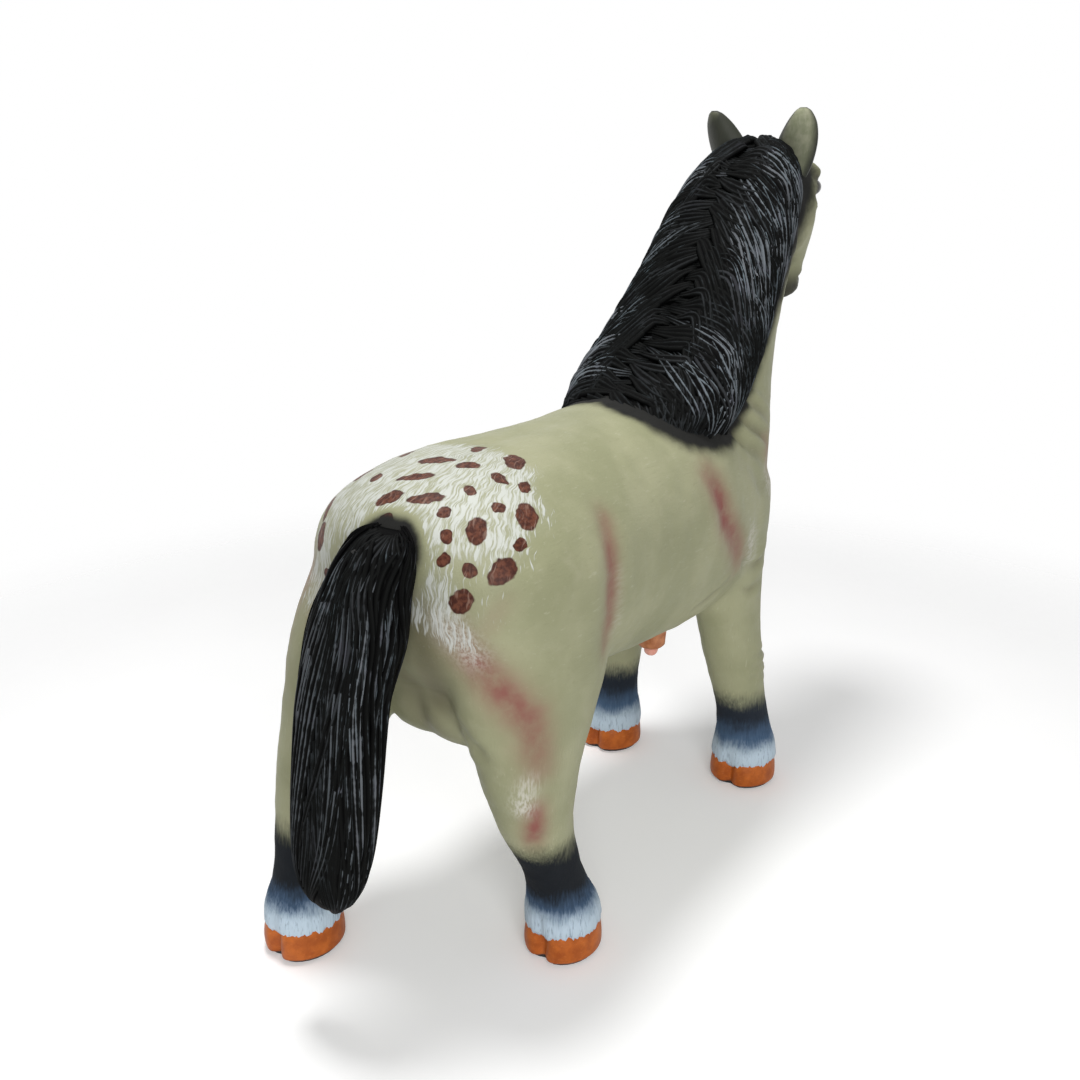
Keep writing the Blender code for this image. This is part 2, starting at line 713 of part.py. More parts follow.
def make_frame(skin, nodes):
    half = 0.5 * FRAME_TUBE
    top = BACKBONE_Z + FRAME_TUBE
    spine = square_tube("backbone_tube", (-half, BACKBONE_FRONT, BACKBONE_Z),
                        (half, BACKBONE_REAR, top), 1)
    bar_top = BACKBONE_Z - FIT_GAP
    bar_low = bar_top - FRAME_TUBE
    for name, y in (("hip_crossbar", HIP_BAR_Y), ("shoulder_crossbar", SHOULDER_BAR_Y)):
        nodes[name] = square_tube(name, (-CROSSBAR_HALF, y - half, bar_low),
                                  (CROSSBAR_HALF, y + half, bar_top), 0)

    plate_low = top + FIT_GAP
    plate_top = plate_low + 0.006
    plate = box("neck_mount_plate", (-0.082, NECK_Y - 0.0475, plate_low),
                (0.100, NECK_Y + 0.0505, plate_top))
    for name, y in (("plate_bolt_front", NECK_Y + 0.0105), ("plate_bolt_rear", NECK_Y + 0.0345)):
        hole = rod("hole", (0.0, y, top - 0.010), (0.0, y, top + 0.03), 0.0033, 12)
        cut(plate, hole, keep=True)
        cut(spine, hole)
        nodes[name] = lathe(name, (0.0, y), (
            (0.003, top - 0.008),
            (0.003, plate_top + FIT_GAP - 0.00001),
            (0.006, plate_top + FIT_GAP),
            (0.006, plate_top + FIT_GAP + 0.004),
        ), 12)
    nodes["neck_mount_plate"] = plate
    nodes["backbone_tube"] = spine

    inside = moved_skin(skin, -SHELL_WALL - SKIN_GAP, "inside")
    gap = 0.0004
    for name, y, low, high in (
        ("hip_bulkhead", 0.255 * SCALE_LENGTH, 0.450 * SCALE_HEIGHT, 0.90 * SCALE_HEIGHT),
        ("shoulder_bulkhead", NECK_Y + 0.0875, 0.395 * SCALE_HEIGHT, NECK_Z - 0.018),
    ):
        board = box(name, (-0.5, y, low), (0.5, y + 0.008, high))
        common(board, inside, keep=True)
        cut(board, box("slot", (-half - gap, -1.0, BACKBONE_Z - gap), (half + gap, 1.0, top + gap)))
        nodes[name] = board

    rise = neck_normal()
    hinge = Vector((0.0, NECK_Y, NECK_Z))
    for name, start, thick, hole in (
        ("neck_rib", 0.075 * SCALE_HEIGHT, 0.006, True),
        ("head_plate", NECK_POST_END + FIT_GAP, 0.006, False),
    ):
        board = half_space(name, hinge + rise * start, rise, 1.0)
        cut(board, half_space("far", hinge + rise * (start + thick), rise))
        common(board, inside, keep=True)
        if hole:
            bore = rod("bore", hinge, hinge + rise * 0.2, POST_RADIUS + FIT_GAP, 20)
            cut(board, bore)
        nodes[name] = board
    discard(inside)


def make_neck_drive(nodes):
    low = BACKBONE_Z + FRAME_TUBE + 2.0 * FIT_GAP + 0.006
    hinge = Vector((0.0, NECK_Y, NECK_Z))
    across = Vector((1.0, 0.0, 0.0))
    bore_radius = NECK_SHAFT_RADIUS + FIT_GAP
    for name, x in (("neck_bearing_left", 0.049), ("neck_bearing_right", -0.049)):
        block = box(name, (x - 0.009, NECK_Y - 0.022, low), (x + 0.009, NECK_Y + 0.022, NECK_Z + 0.023))
        bore = rod("bore", hinge - across * 0.2, hinge + across * 0.2, bore_radius, 20)
        nodes[name] = cut(block, bore)
    nodes["neck_shaft"] = rod("neck_shaft", hinge - across * 0.060, hinge + across * 0.094,
                              NECK_SHAFT_RADIUS, 20)
    hub = rod("neck_hub", hinge - across * 0.0395, hinge + across * 0.0395, 0.020, 24)
    bore = rod("bore", hinge - across * 0.2, hinge + across * 0.2, bore_radius, 20)
    nodes["neck_hub"] = cut(hub, bore)
    rise = neck_normal()
    nodes["neck_post"] = rod("neck_post", hinge + rise * 0.0204, hinge + rise * NECK_POST_END,
                             POST_RADIUS, 20)
    gearbox = box("neck_gearmotor", (0.0585, NECK_Y - 0.030, low),
                  (0.0975, NECK_Y + 0.030, NECK_Z + 0.032))
    can_z = max(NECK_Z - 0.025, low + 0.019)
    motor = rod("motor", (0.078, NECK_Y + 0.020, can_z), (0.078, NECK_Y + 0.080, can_z), 0.0185, 20)
    joined(gearbox, motor)
    bore = rod("bore", hinge, hinge + across * 0.095, bore_radius, 20)
    nodes["neck_gearmotor"] = cut(gearbox, bore)


def make_tail(skin, nodes):
    rings = []
    for ring in TAIL:
        rings.append(flat_ring(*ring, count=24))
    tail = loft("tail", rings)
    start = (0.0, TAIL_AXIS_Y, TAIL_STEM_Z)
    bore = rod("bore", start, (0.0, TAIL_STEM_END + FIT_GAP, TAIL_STEM_Z),
               TAIL_STEM_RADIUS + FIT_GAP, 16)
    nodes["tail"] = cut(tail, bore)

    low = BACKBONE_Z + FRAME_TUBE + FIT_GAP
    deck = TAIL_STEM_Z - 0.0108
    motor = box("tail_gearmotor", (-0.028, TAIL_AXIS_Y - 0.070, low), (0.028, TAIL_AXIS_Y + 0.022, deck))
    can = rod("can", (0.0, TAIL_AXIS_Y - 0.055, low + 0.020), (0.0, TAIL_AXIS_Y - 0.123, low + 0.020),
              0.0185, 20)
    joined(motor, can)
    shaft_top = TAIL_STEM_Z + 0.0097
    joined(motor, rod("shaft", (0.0, TAIL_AXIS_Y, deck - 0.006), (0.0, TAIL_AXIS_Y, shaft_top), 0.006, 16))
    nodes["tail_gearmotor"] = motor

    stem = rod("tail_stem", start, (0.0, TAIL_STEM_END, TAIL_STEM_Z), TAIL_STEM_RADIUS, 16)
    joined(stem, rod("hub", (0.0, TAIL_AXIS_Y, TAIL_STEM_Z - 0.0105),
                     (0.0, TAIL_AXIS_Y, TAIL_STEM_Z + 0.0105), 0.014, 20))
    cut(stem, rod("bore", (0.0, TAIL_AXIS_Y, TAIL_STEM_Z - 0.027),
                  (0.0, TAIL_AXIS_Y, TAIL_STEM_Z + 0.023), 0.0063, 16))
    nodes["tail_stem"] = stem

    start = (0.0, TAIL_AXIS_Y + 0.035, TAIL_STEM_Z)
    end = (0.0, 0.61 * SCALE_LENGTH, TAIL_STEM_Z)
    ring = rod("dock_ring", start, end, DOCK_HOLE_RADIUS - FIT_GAP, 24)
    cut(ring, rod("bore", (0.0, TAIL_AXIS_Y + 0.025, TAIL_STEM_Z),
                  (0.0, 0.62 * SCALE_LENGTH, TAIL_STEM_Z), 0.0182, 24))
    common(ring, moved_skin(skin, 0.001, "over"))
    cut(ring, moved_skin(skin, -0.010, "under"))
    nodes["dock_ring"] = ring


def make_electrics(nodes):
    low = BACKBONE_Z + FRAME_TUBE + FIT_GAP
    top = low + 0.004
    nodes["tray"] = box("tray", (-0.085, -0.080, low), (0.085, 0.200, top))
    floor = top + FIT_GAP
    nodes["control_box"] = box("control_box", (-0.080, -0.065, floor), (-0.008, 0.060, 0.690))
    nodes["battery"] = box("battery", (0.008, -0.065, floor), (0.080, 0.090, 0.702))
    nodes["speaker"] = lathe("speaker", (-0.040, 0.130), (
        (0.020, floor),
        (0.020, floor + 0.012),
        (0.034, floor + 0.024),
        (0.036, floor + 0.026),
        (0.036, floor + 0.030),
    ), 20)


def make_port(outside, skin, nodes):
    collar = lathe("belly_collar", (PORT_X, PORT_Y), (
        (PORT_OUTER - 0.005, PORT_Z),
        (PORT_OUTER - 0.001, PORT_Z + 0.0025),
        (PORT_OUTER, PORT_Z + 0.0075),
        (PORT_OUTER, PORT_Z + 0.0535),
    ), 24)
    cut(collar, rod("bore", (PORT_X, PORT_Y, PORT_Z - 0.03), (PORT_X, PORT_Y, PORT_Z + 0.07),
                    PORT_BORE, 20))
    nodes["belly_collar"] = cut(collar, outside, keep=True)
    radius = PORT_BORE - FIT_GAP
    nodes["belly_stopper"] = lathe("belly_stopper", (PORT_X, PORT_Y), (
        (0.004, PORT_Z - STOPPER_DROP),
        (0.009, PORT_Z - STOPPER_DROP + 0.002),
        (radius - 0.0006, PORT_Z - STOPPER_DROP + 0.007),
        (radius - 0.0006, PORT_Z - 0.0005),
        (radius, PORT_Z + 0.0010),
        (radius, PORT_Z + 0.0435),
        (radius - 0.002, PORT_Z + 0.0455),
    ), 20)


def paint(ob, colour, roughness, metallic=0.0):
    mat = bpy.data.materials.new("mat_" + ob.name)
    mat.use_nodes = True
    shader = mat.node_tree.nodes["Principled BSDF"]
    shader.inputs["Base Color"].default_value = colour
    shader.inputs["Roughness"].default_value = roughness
    shader.inputs["Metallic"].default_value = metallic
    mat.diffuse_color = colour
    ob.data.materials.clear()
    ob.data.materials.append(mat)


LOOKS = (
    (("torso_shell", "neck_shell", "head_shell", "leg_shell"), PAINT, 0.45, 0.0),
    (("mane", "forelock", "tail"), BLACK_HAIR, 0.35, 0.0),
    (("ear",), PAINT, 0.5, 0.0),
    (("eye",), (0.01, 0.008, 0.006, 1.0), 0.08, 0.0),
    (("hoof_bolt", "plate_bolt"), (0.45, 0.45, 0.44, 1.0), 0.3, 1.0),
    (("hoof",), HOOF_ORANGE, 0.4, 0.0),
    (("sole_pad", "neck_sleeve", "dock_ring"), RUBBER, 0.8, 0.0),
    (("leg_post", "backbone", "hip_crossbar", "shoulder_crossbar"), STEEL, 0.4, 1.0),
    (("neck_mount", "neck_bearing", "neck_shaft", "neck_hub", "neck_post"), STEEL, 0.35, 1.0),
    (("tail_stem",), STEEL, 0.35, 1.0),
    (("hip_bulkhead", "shoulder_bulkhead", "neck_rib", "head_plate"), PLY, 0.7, 0.0),
    (("neck_gearmotor", "tail_gearmotor", "control_box", "battery", "speaker"), PLASTIC, 0.5, 0.0),
    (("tray",), STEEL, 0.5, 1.0),
    (("belly_collar",), (0.40, 0.16, 0.06, 1.0), 0.6, 0.0),
    (("belly_stopper",), SKIN_PINK, 0.5, 0.0),
)

NECK_BODY = ("neck_shell", "head_shell", "mane", "forelock", "ear_left", "ear_right", "eye_left",
             "eye_right", "neck_shaft", "neck_hub", "neck_post", "neck_rib", "head_plate")
TAIL_BODY = ("tail", "tail_stem")


def set_origin(ob, pivot):
    ob.data.transform(Matrix.Translation(-Vector(pivot)))
    ob.location = pivot


def centre(nodes):
    """Move everything so that the bounding box stands over the origin."""
    low = Vector((9.0, 9.0, 9.0))
    high = -low
    for ob in nodes.values():
        for vert in ob.data.vertices:
            for axis in range(3):
                low[axis] = min(low[axis], vert.co[axis])
                high[axis] = max(high[axis], vert.co[axis])
    middle = 0.5 * (low + high)
    shift = Vector((-middle.x, -middle.y, -low.z))
    for ob in nodes.values():
        ob.data.transform(Matrix.Translation(shift))
    return shift


def finish(nodes):
    shift = centre(nodes)
    for name, ob in nodes.items():
        ob.name = name
        ob.data.name = name
        bm = bmesh.new()
        bm.from_mesh(ob.data)
        bmesh.ops.remove_doubles(bm, verts=bm.verts, dist=0.000002)
        bmesh.ops.dissolve_degenerate(bm, edges=bm.edges, dist=0.000002)
        bmesh.ops.triangulate(bm, faces=bm.faces)
        bm.to_mesh(ob.data)
        bm.free()
        for prefixes, colour, roughness, metallic in LOOKS:
            if name.startswith(prefixes):
                paint(ob, colour, roughness, metallic)
                break
        if name in NECK_BODY:
            set_origin(ob, shift + Vector((0.0, NECK_Y, NECK_Z)))
        if name in TAIL_BODY:
            set_origin(ob, shift + Vector((0.0, TAIL_AXIS_Y, TAIL_STEM_Z)))
        if name == "belly_stopper":
            set_origin(ob, shift + Vector((PORT_X, PORT_Y, PORT_Z + 0.0235)))


def build():
    clear()
    nodes = {}
    skin = make_skin()
    wall = make_wall(skin)
    make_shells(skin, wall, nodes)
    discard(wall)
    make_sleeve(skin, nodes)
    outside = make_hair(skin, nodes)
    make_face(nodes)
    make_feet(nodes)
    make_frame(skin, nodes)
    make_neck_drive(nodes)
    make_tail(skin, nodes)
    make_electrics(nodes)
    make_port(outside, skin, nodes)
    discard(outside, skin)
    finish(nodes)


build()
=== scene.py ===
"""Looks of the ride horse: painted skin, mane and tail locks, hooves, ears and eyes around the CAD frame."""
import json
import math
import random

import bpy
import numpy as np
from mathutils import Matrix, Vector, noise
from mathutils.bvhtree import BVHTree


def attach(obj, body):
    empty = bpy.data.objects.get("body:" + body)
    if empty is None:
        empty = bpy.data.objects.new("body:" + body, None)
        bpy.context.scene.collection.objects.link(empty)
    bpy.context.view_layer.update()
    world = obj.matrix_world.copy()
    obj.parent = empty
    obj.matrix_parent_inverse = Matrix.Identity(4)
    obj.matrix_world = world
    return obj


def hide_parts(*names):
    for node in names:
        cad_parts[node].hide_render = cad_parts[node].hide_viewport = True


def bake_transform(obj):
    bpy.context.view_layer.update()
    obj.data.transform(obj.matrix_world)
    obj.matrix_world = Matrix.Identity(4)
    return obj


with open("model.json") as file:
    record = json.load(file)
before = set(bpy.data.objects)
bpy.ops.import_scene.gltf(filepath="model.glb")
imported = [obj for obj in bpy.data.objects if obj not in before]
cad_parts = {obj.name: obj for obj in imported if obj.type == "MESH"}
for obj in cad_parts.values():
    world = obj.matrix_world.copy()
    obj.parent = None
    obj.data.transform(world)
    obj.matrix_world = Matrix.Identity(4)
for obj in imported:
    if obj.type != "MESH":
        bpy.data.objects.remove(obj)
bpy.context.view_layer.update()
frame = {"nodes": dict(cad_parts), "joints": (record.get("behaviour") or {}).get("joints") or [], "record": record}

HINGE = next(j for j in frame["joints"] if j["name"] == "neck_nod")["pos_m"]
SHIFT = np.array((HINGE[0], HINGE[1] + 0.2725, 0.0))
MIDDLE = HINGE[0]
# the painted marks below are given about this point of the horse
MARK_MIDDLE = -0.0208
MARKS = SHIFT + np.array((0.0208, 0.0069, 0.0))


def mm(*rows):
    """Rows of whole millimetres, in metres."""
    return tuple(tuple(v / 1000 for v in row) for row in rows)


# the tables below are in millimetres
# legs: rings from the body down, (z, x, y, half width, half depth)
LEGS = {
    "hind_right": mm(
        (640, -85, 335, 96, 130), (560, -98, 335, 102, 140), (480, -112, 338, 88, 136),
        (420, -121, 345, 74, 115), (360, -123, 352, 65, 92), (300, -123, 350, 59, 72),
        (240, -122, 338, 52, 58), (180, -124, 314, 46, 50), (140, -126, 299, 45, 48),
        (100, -127, 286, 51, 54), (70, -127, 279, 53, 58), (35, -127, 276, 50, 54),
    ),
    "hind_left": mm(
        (640, 104, 352, 104, 132), (560, 130, 372, 106, 138), (480, 148, 400, 99, 126),
        (420, 161, 424, 88, 105), (360, 172, 450, 76, 85), (300, 180, 475, 64, 69), (240, 187, 493, 52, 56),
        (180, 192, 505, 46, 49), (140, 194, 510, 45, 47), (100, 196, 514, 51, 54), (70, 197, 515, 53, 58),
        (35, 197, 515, 50, 54),
    ),
    "front_right": mm(
        (620, -80, -262, 76, 118), (540, -82, -272, 72, 108), (460, -85, -284, 62, 87),
        (400, -87, -288, 59, 80), (340, -91, -297, 56, 70), (280, -96, -308, 54, 63),
        (220, -102, -321, 51, 56), (160, -109, -334, 49, 51), (120, -112, -341, 52, 53),
        (90, -114, -346, 56, 58), (60, -114, -348, 57, 60), (35, -114, -348, 54, 57),
    ),
    "front_left": mm(
        (620, 88, -255, 78, 120), (540, 100, -262, 76, 110), (460, 114, -270, 68, 90),
        (400, 126, -277, 61, 76), (340, 137, -284, 56, 64), (280, 148, -290, 53, 58),
        (220, 157, -296, 50, 53), (160, 166, -302, 49, 51), (120, 171, -305, 52, 53),
        (90, 174, -307, 56, 58), (60, 176, -308, 57, 60), (35, 176, -308, 54, 57),
    ),
}
# hooves: half width and half depth, and how wide they are at each height
HOOF_SIZE = {"hind": (0.059, 0.064), "front": (0.064, 0.066)}
HOOF_LEVELS = (
    (0.0053, 0.955), (0.0065, 0.985), (0.01, 1.0), (0.02, 1.0), (0.032, 0.985), (0.044, 0.96),
    (0.052, 0.935), (0.058, 0.895), (0.0605, 0.84), (0.061, 0.7),
)

# trunk: (y, x, z, half width, half height)
TRUNK = mm(
    (505, 6, 634, 62, 62), (495, 8, 627, 112, 91), (470, 9, 616, 162, 124), (425, 9, 607, 198, 154),
    (335, 6, 601, 212, 179), (220, 2, 598, 198, 184), (100, 0, 590, 186, 194), (-20, 0, 588, 182, 206),
    (-140, 0, 590, 177, 218), (-250, 0, 574, 160, 194), (-345, 0, 560, 134, 158), (-410, 0, 552, 98, 118),
    (-438, 0, 548, 55, 65),
)

# neck: (crest y, crest z, throat y, throat z, half width)
NECK = mm(
    (-50, 700, -395, 480, 146), (-105, 795, -425, 610, 144), (-195, 872, -437, 725, 122),
    (-272, 960, -468, 830, 104), (-340, 1045, -508, 930, 96), (-405, 1120, -540, 1010, 90),
    (-455, 1165, -560, 1070, 78), (-485, 1175, -545, 1120, 45),
)

# head: (forehead y, z, jaw y, z, half width)
HEAD = mm(
    (-503, 1188, -460, 1150, 45), (-548, 1182, -455, 1115, 72), (-595, 1145, -465, 1060, 91),
    (-618, 1085, -480, 1003, 86), (-626, 1025, -524, 970, 65), (-627, 975, -554, 937, 49),
    (-624, 940, -566, 910, 46), (-610, 918, -584, 905, 24),
)
JAW = mm((78, -482, 1045), (66, -497, 1000), (52, -536, 975))

# haunch, shoulder, inner thigh, cheek and brow on each side: place, radius, shift to the left
MUSCLES = (
    ((0.105, 0.345, 0.5), 0.104, 0.007), ((0.078, -0.262, 0.56), 0.084, 0), ((0.03, 0.37, 0.446), 0.082, 0),
    ((0.036, -0.52, 1.04), 0.049, 0), ((0.056, -0.572, 1.138), 0.028, 0),
)

# ears: (x, y, z, half width)
EAR = mm(
    (42, -500, 1115, 30), (52, -497, 1150, 38), (65, -488, 1190, 38), (76, -481, 1222, 29),
    (82, -477, 1242, 16), (84, -476, 1249, 6),
)

# tail: (z, x, y, half width, half depth)
TAIL = mm(
    (712, -14, 497, 22, 13), (703, -16, 510, 40, 21), (684, -17, 524, 51, 27), (650, -14, 545, 59, 30),
    (590, -3, 557, 70, 32), (500, 12, 573, 68, 32), (400, 13, 589, 67, 32), (310, 18, 599, 66, 31),
    (255, 23, 605, 61, 29), (222, 25, 609, 48, 24), (204, 25, 611, 28, 15), (198, 25, 612, 10, 7),
)

# mane along the crest: (outer y, outer z, inner y, inner z, half width)
MANE = mm(
    (10, 764, -110, 650, 106), (-80, 818, -205, 728, 146), (-170, 892, -290, 810, 141),
    (-246, 980, -370, 895, 126), (-314, 1062, -430, 985, 117), (-382, 1136, -480, 1060, 103),
    (-444, 1183, -512, 1110, 77), (-482, 1192, -520, 1150, 42),
)
# layers of locks: angle at the root and at the tip from the crest, and how far they stand off
MANE_LAYERS = ((58, 120, 0.0), (36, 112, 0.003), (16, 100, 0.0055), (-2, 86, 0.008), (-5, 48, 0.008))
# layers of locks: how many go round, and how far they stand off
TAIL_LAYERS = ((30, 0.0), (26, 0.0018), (16, 0.0034))

# lines pressed into both sides of the skin: (path, width, depth, darkness of the painted shade and dark wash in
# the fold, height of the lip beside it)
FOLDS = (
    # where the neck meets the shoulder
    (((-150, -175, 745), (-172, -225, 705), (-168, -290, 668)), 0.01, 0.0055, 0.5, 0.0032),
    (((-142, -190, 775), (-165, -250, 730), (-160, -310, 696)), 0.009, 0.006, 0.6, 0.0035),
    (((-130, -215, 800), (-150, -275, 760), (-148, -335, 722)), 0.009, 0.0055, 0.55, 0.0032),
    (((-170, -215, 660), (-176, -265, 625), (-160, -330, 600)), 0.013, 0.0025, 0.15, 0.0015),
    # the foreleg and its elbow
    (((-172, -190, 520), (-176, -235, 480), (-172, -285, 470), (-155, -335, 480)), 0.009, 0.006, 0.6, 0.003),
    (((-166, -235, 440), (-168, -270, 425), (-158, -315, 430)), 0.008, 0.0045, 0.45, 0.0024),
    (((-170, -60, 450), (-168, -130, 470), (-166, -185, 505)), 0.01, 0.0048, 0.55, 0.0022),
    # the knee
    *((((-165, -300, z), (-165, -345, z - 6), (-120, -385, z)), 0.006, 0.0026, 0.22, 0.0018)
      for z in (285, 262, 240)),
    # the hock and the inner thigh
    (((-172, 330, 300), (-180, 370, 255), (-172, 385, 225)), 0.012, 0.0022, 0.08, 0.0012),
    (((-110, 420, 480), (-125, 440, 440), (-145, 445, 405)), 0.012, 0.0048, 0.4, 0.0024),
    (((-60, 380, 410), (-95, 415, 405), (-140, 440, 418)), 0.01, 0.0048, 0.6, 0.002),
)
# croup groove and rump cleft, as (y, z)
MIDDLE_LINES = (
    (((50, 790), (250, 790), (420, 770)), 0.016, 0.0022),
    (((520, 640), (515, 560), (470, 470), (430, 410)), 0.016, 0.006, 0.55),
)
# eye sockets, cheek, nostril and mouth, from the head's middle
FACE_LINES = (
    (((-78, -548, 1128), (-83, -562, 1137), (-75, -582, 1128)), 0.007, 0.0025, 0.6, 0.0035),
    (((-80, -548, 1104), (-84, -564, 1097), (-76, -584, 1106)), 0.007, 0.0025, 0.6, 0.003),
    (((-85, -480, 1090), (-80, -490, 1030), (-58, -530, 990)), 0.01, 0.003, 0.15, 0.002),
    (((-40, -606, 958), (-46, -598, 946)), 0.008, 0.0065, 0.9, 0.003),
    (((0, -612, 925), (-40, -590, 930), (-50, -565, 945)), 0.004, 0.0035, 0.7, 0.0012),
)

# painted features on the right side
FLANK = mm((-195, 247, 694), (-215, 258, 644), (-220, 262, 589), (-208, 262, 520))
SHOULDER = mm((-178, -60, 683), (-190, -80, 652), (-197, -98, 608), (-187, -185, 512))
THIGH = mm((-128, 484, 590), (-163, 454, 526), (-198, 416, 465), (-199, 396, 382))
HOCK = mm((-188, 392, 322), (-182, 385, 280), (-178, 384, 240))
# (path, width, strength)
BLUSH = (
    (FLANK, 0.02, 0.85), (SHOULDER, 0.028, 1.0), (THIGH, 0.028, 0.9), (HOCK, 0.018, 1.0),
    (mm((-195, 455, 640), (-150, 492, 560)), 0.016, 0.25),
    (mm((-158, -308, 696), (-165, -330, 640)), 0.022, 0.55),
    (mm((-150, -100, 400), (-140, 60, 395)), 0.016, 0.3),
)
PALE = (
    (mm((-182, 405, 362), (-180, 410, 318)), 0.016, 0.8),
    (mm((-192, -225, 545), (-180, -250, 500)), 0.022, 0.75),
    (mm((-170, -320, 620), (-150, -360, 600)), 0.024, 0.6),
    (mm((-206, 240, 620), (-205, 235, 540)), 0.012, 0.35),
    (mm((-120, 494, 610), (-150, 478, 560)), 0.022, 0.8),
)
BLANKET = mm(
    (145, 455), (159, 409), (136, 345), (82, 290), (-41, 281), (-124, 290), (-178, 345), (-201, 409),
    (-187, 455), (-150, 480), (-120, 500), (-60, 530), (40, 530),
)
# spots: (x, y, z, half length, half width in mm, turn in degrees from straight down)
SPOTS = (
    (-92, 311, 774, 21, 15, 20), (-106, 360, 766, 15, 10, 70), (-137, 345, 755, 12, 9, 0),
    (-167, 379, 728, 23, 15, 10), (-140, 448, 723, 20, 13, 5), (-180, 446, 674, 22, 15, -35),
    (-141, 482, 636, 18, 15, -30), (-56, 450, 754, 25, 10, -65), (114, 470, 666, 22, 13, -20),
    (-93, 456, 742, 10, 8, 40), (-54, 365, 777, 17, 9, -60), (-26, 310, 784, 14, 10, 30),
    (-4, 370, 777, 26, 10, -60), (-4, 465, 747, 20, 11, -50), (53, 430, 755, 10, 8, 0),
    (-19, 488, 723, 11, 8, -60), (-139, 402, 744, 10, 9, 0), (-95, 409, 762, 10, 8, 60),
    (-112, 473, 715, 10, 8, 30), (-117, 485, 687, 10, 9, 0), (-147, 473, 676, 11, 9, 30),
    (-184, 413, 702, 10, 8, -30), (-10, 420, 768, 26, 9, -60), (100, 400, 730, 18, 12, 10),
    (122, 452, 700, 20, 11, 15), (130, 340, 735, 16, 11, -10), (70, 350, 766, 15, 11, 40),
    (150, 430, 660, 13, 10, 0), (90, 490, 620, 12, 10, 20),
)

HAIR_BRUSH = (0.15, 0.205, 0.235)

CAMERA_AT = SHIFT + np.array((-0.948, 1.41, 1.13))
CAMERA_ALONG = (0.607, -0.794)
CAMERA_DOWN = 18.5
CAMERA_LENS = 35.93

RANDOM_SEED = 12
SKIN_VOXEL, SKIN_ROUNDS = 0.0062, 34
MANE_VOXEL, MANE_ROUNDS = 0.007, 10
# lamps: place, aim, size across, watts
KEY_LAMP = ((0.3, 0.25, 3.8), (0, 0, 0.4), 0.8, 74)
FILL_LAMP = ((-2.3, 2.4, 1.8), (0, 0, 0.6), 2.0, 66)
WORLD_LIGHT = 0.345
FLOOR_GLOW = 0.17
FLOOR_FADE = (1.35, 2.3)
# the marks on the head are given this far off, front to back
FACE_SHIFT = -0.0069


# ---- geometry

def linked(ob):
    bpy.context.scene.collection.objects.link(ob)
    return ob


def add_mesh(name, verts, faces, smooth=True):
    mesh = bpy.data.meshes.new(name)
    mesh.from_pydata([tuple(v) for v in verts], [], [tuple(f) for f in faces])
    mesh.validate()
    if smooth:
        mesh.polygons.foreach_set("use_smooth", [True] * len(mesh.polygons))
    mesh.update()
    ob = bpy.data.objects.new(name, mesh)
    return linked(ob)


def curve_rows(rows, count):
    """Catmull-Rom rows between the given rows."""
    rows = np.array(rows, float)
    padded = np.vstack((2 * rows[0] - rows[1], rows, 2 * rows[-1] - rows[-2]))
    out = []
    for t in np.linspace(0, len(rows) - 1, count):
        i = min(int(t), len(rows) - 2)
        f = t - i
        a, b, c, d = padded[i:i + 4]
        out.append(0.5 * (2 * b + (c - a) * f + (2 * a - 5 * b + 4 * c - d) * f * f
                          + (3 * b - a - 3 * c + d) * f ** 3))
    return np.array(out)


def loft(rings, close=True):
    """Vertices and faces of a tube through rings of equal length."""
    rings = np.array(rings, float)
    steps, count = rings.shape[:2]
    faces = []
    for r in range(steps - 1):
        for i in range(count):
            j = (i + 1) % count
            faces.append((r * count + i, r * count + j, (r + 1) * count + j, (r + 1) * count + i))
    if close:
        faces.append(tuple(range(count))[::-1])
        faces.append(tuple((steps - 1) * count + i for i in range(count)))
    return rings.reshape(-1, 3), faces


def power(value, exponent):
    return np.sign(value) * np.abs(value) ** exponent


def turn_angles(count):
    return 2 * math.pi * np.arange(count) / count


def flat_ring(z, x, y, half_width, half_depth, count=40):
    a = turn_angles(count)
    return np.stack((x + half_width * np.cos(a), y + half_depth * np.sin(a), np.full(count, z)), 1)


def cross_ring(y, x, z, half_width, half_height, count=56):
    a = turn_angles(count)
    return np.stack((x + power(np.cos(a), 0.9) * half_width, np.full(count, y),
                     z + power(np.sin(a), 0.92) * half_height), 1)


def span_ring(row, count=48, corner=1.0):
    y1, z1, y2, z2, half = row
    a = turn_angles(count)
    c, s = power(np.cos(a), corner), power(np.sin(a), corner)
    return np.stack((half * s, 0.5 * (y1 + y2) + 0.5 * (y1 - y2) * c,
                     0.5 * (z1 + z2) + 0.5 * (z1 - z2) * c), 1)


def ball(centre, radius, columns=32, rows=20):
    rings = []
    for k in range(1, rows):
        t = math.pi * k / rows
        rings.append(flat_ring(centre[2] + radius * math.cos(t), centre[0], centre[1],
                               radius * math.sin(t), radius * math.sin(t), columns))
    return loft(rings)


def merged(shapes):
    verts, faces, base = [], [], 0
    for v, f in shapes:
        verts.append(np.asarray(v))
        faces.extend(tuple(i + base for i in face) for face in f)
        base += len(v)
    return np.vstack(verts), faces


def apply_modifiers(ob):
    graph = bpy.context.evaluated_depsgraph_get()
    fresh = bpy.data.meshes.new_from_object(ob.evaluated_get(graph))
    ob.modifiers.clear()
    ob.data = fresh
    fresh.polygons.foreach_set("use_smooth", [True] * len(fresh.polygons))
    return ob


def remeshed(ob, voxel, rounds):
    mod = ob.modifiers.new("Blend", "REMESH")
    mod.mode = "VOXEL"
    mod.voxel_size = voxel
    mod = ob.modifiers.new("Soften", "SMOOTH")
    mod.factor = 0.5
    mod.iterations = rounds
    return apply_modifiers(ob)


def points(mesh, what="co"):
    out = np.zeros(len(mesh.vertices) * 3)
    mesh.vertices.foreach_get(what, out)
    return out.reshape(-1, 3)


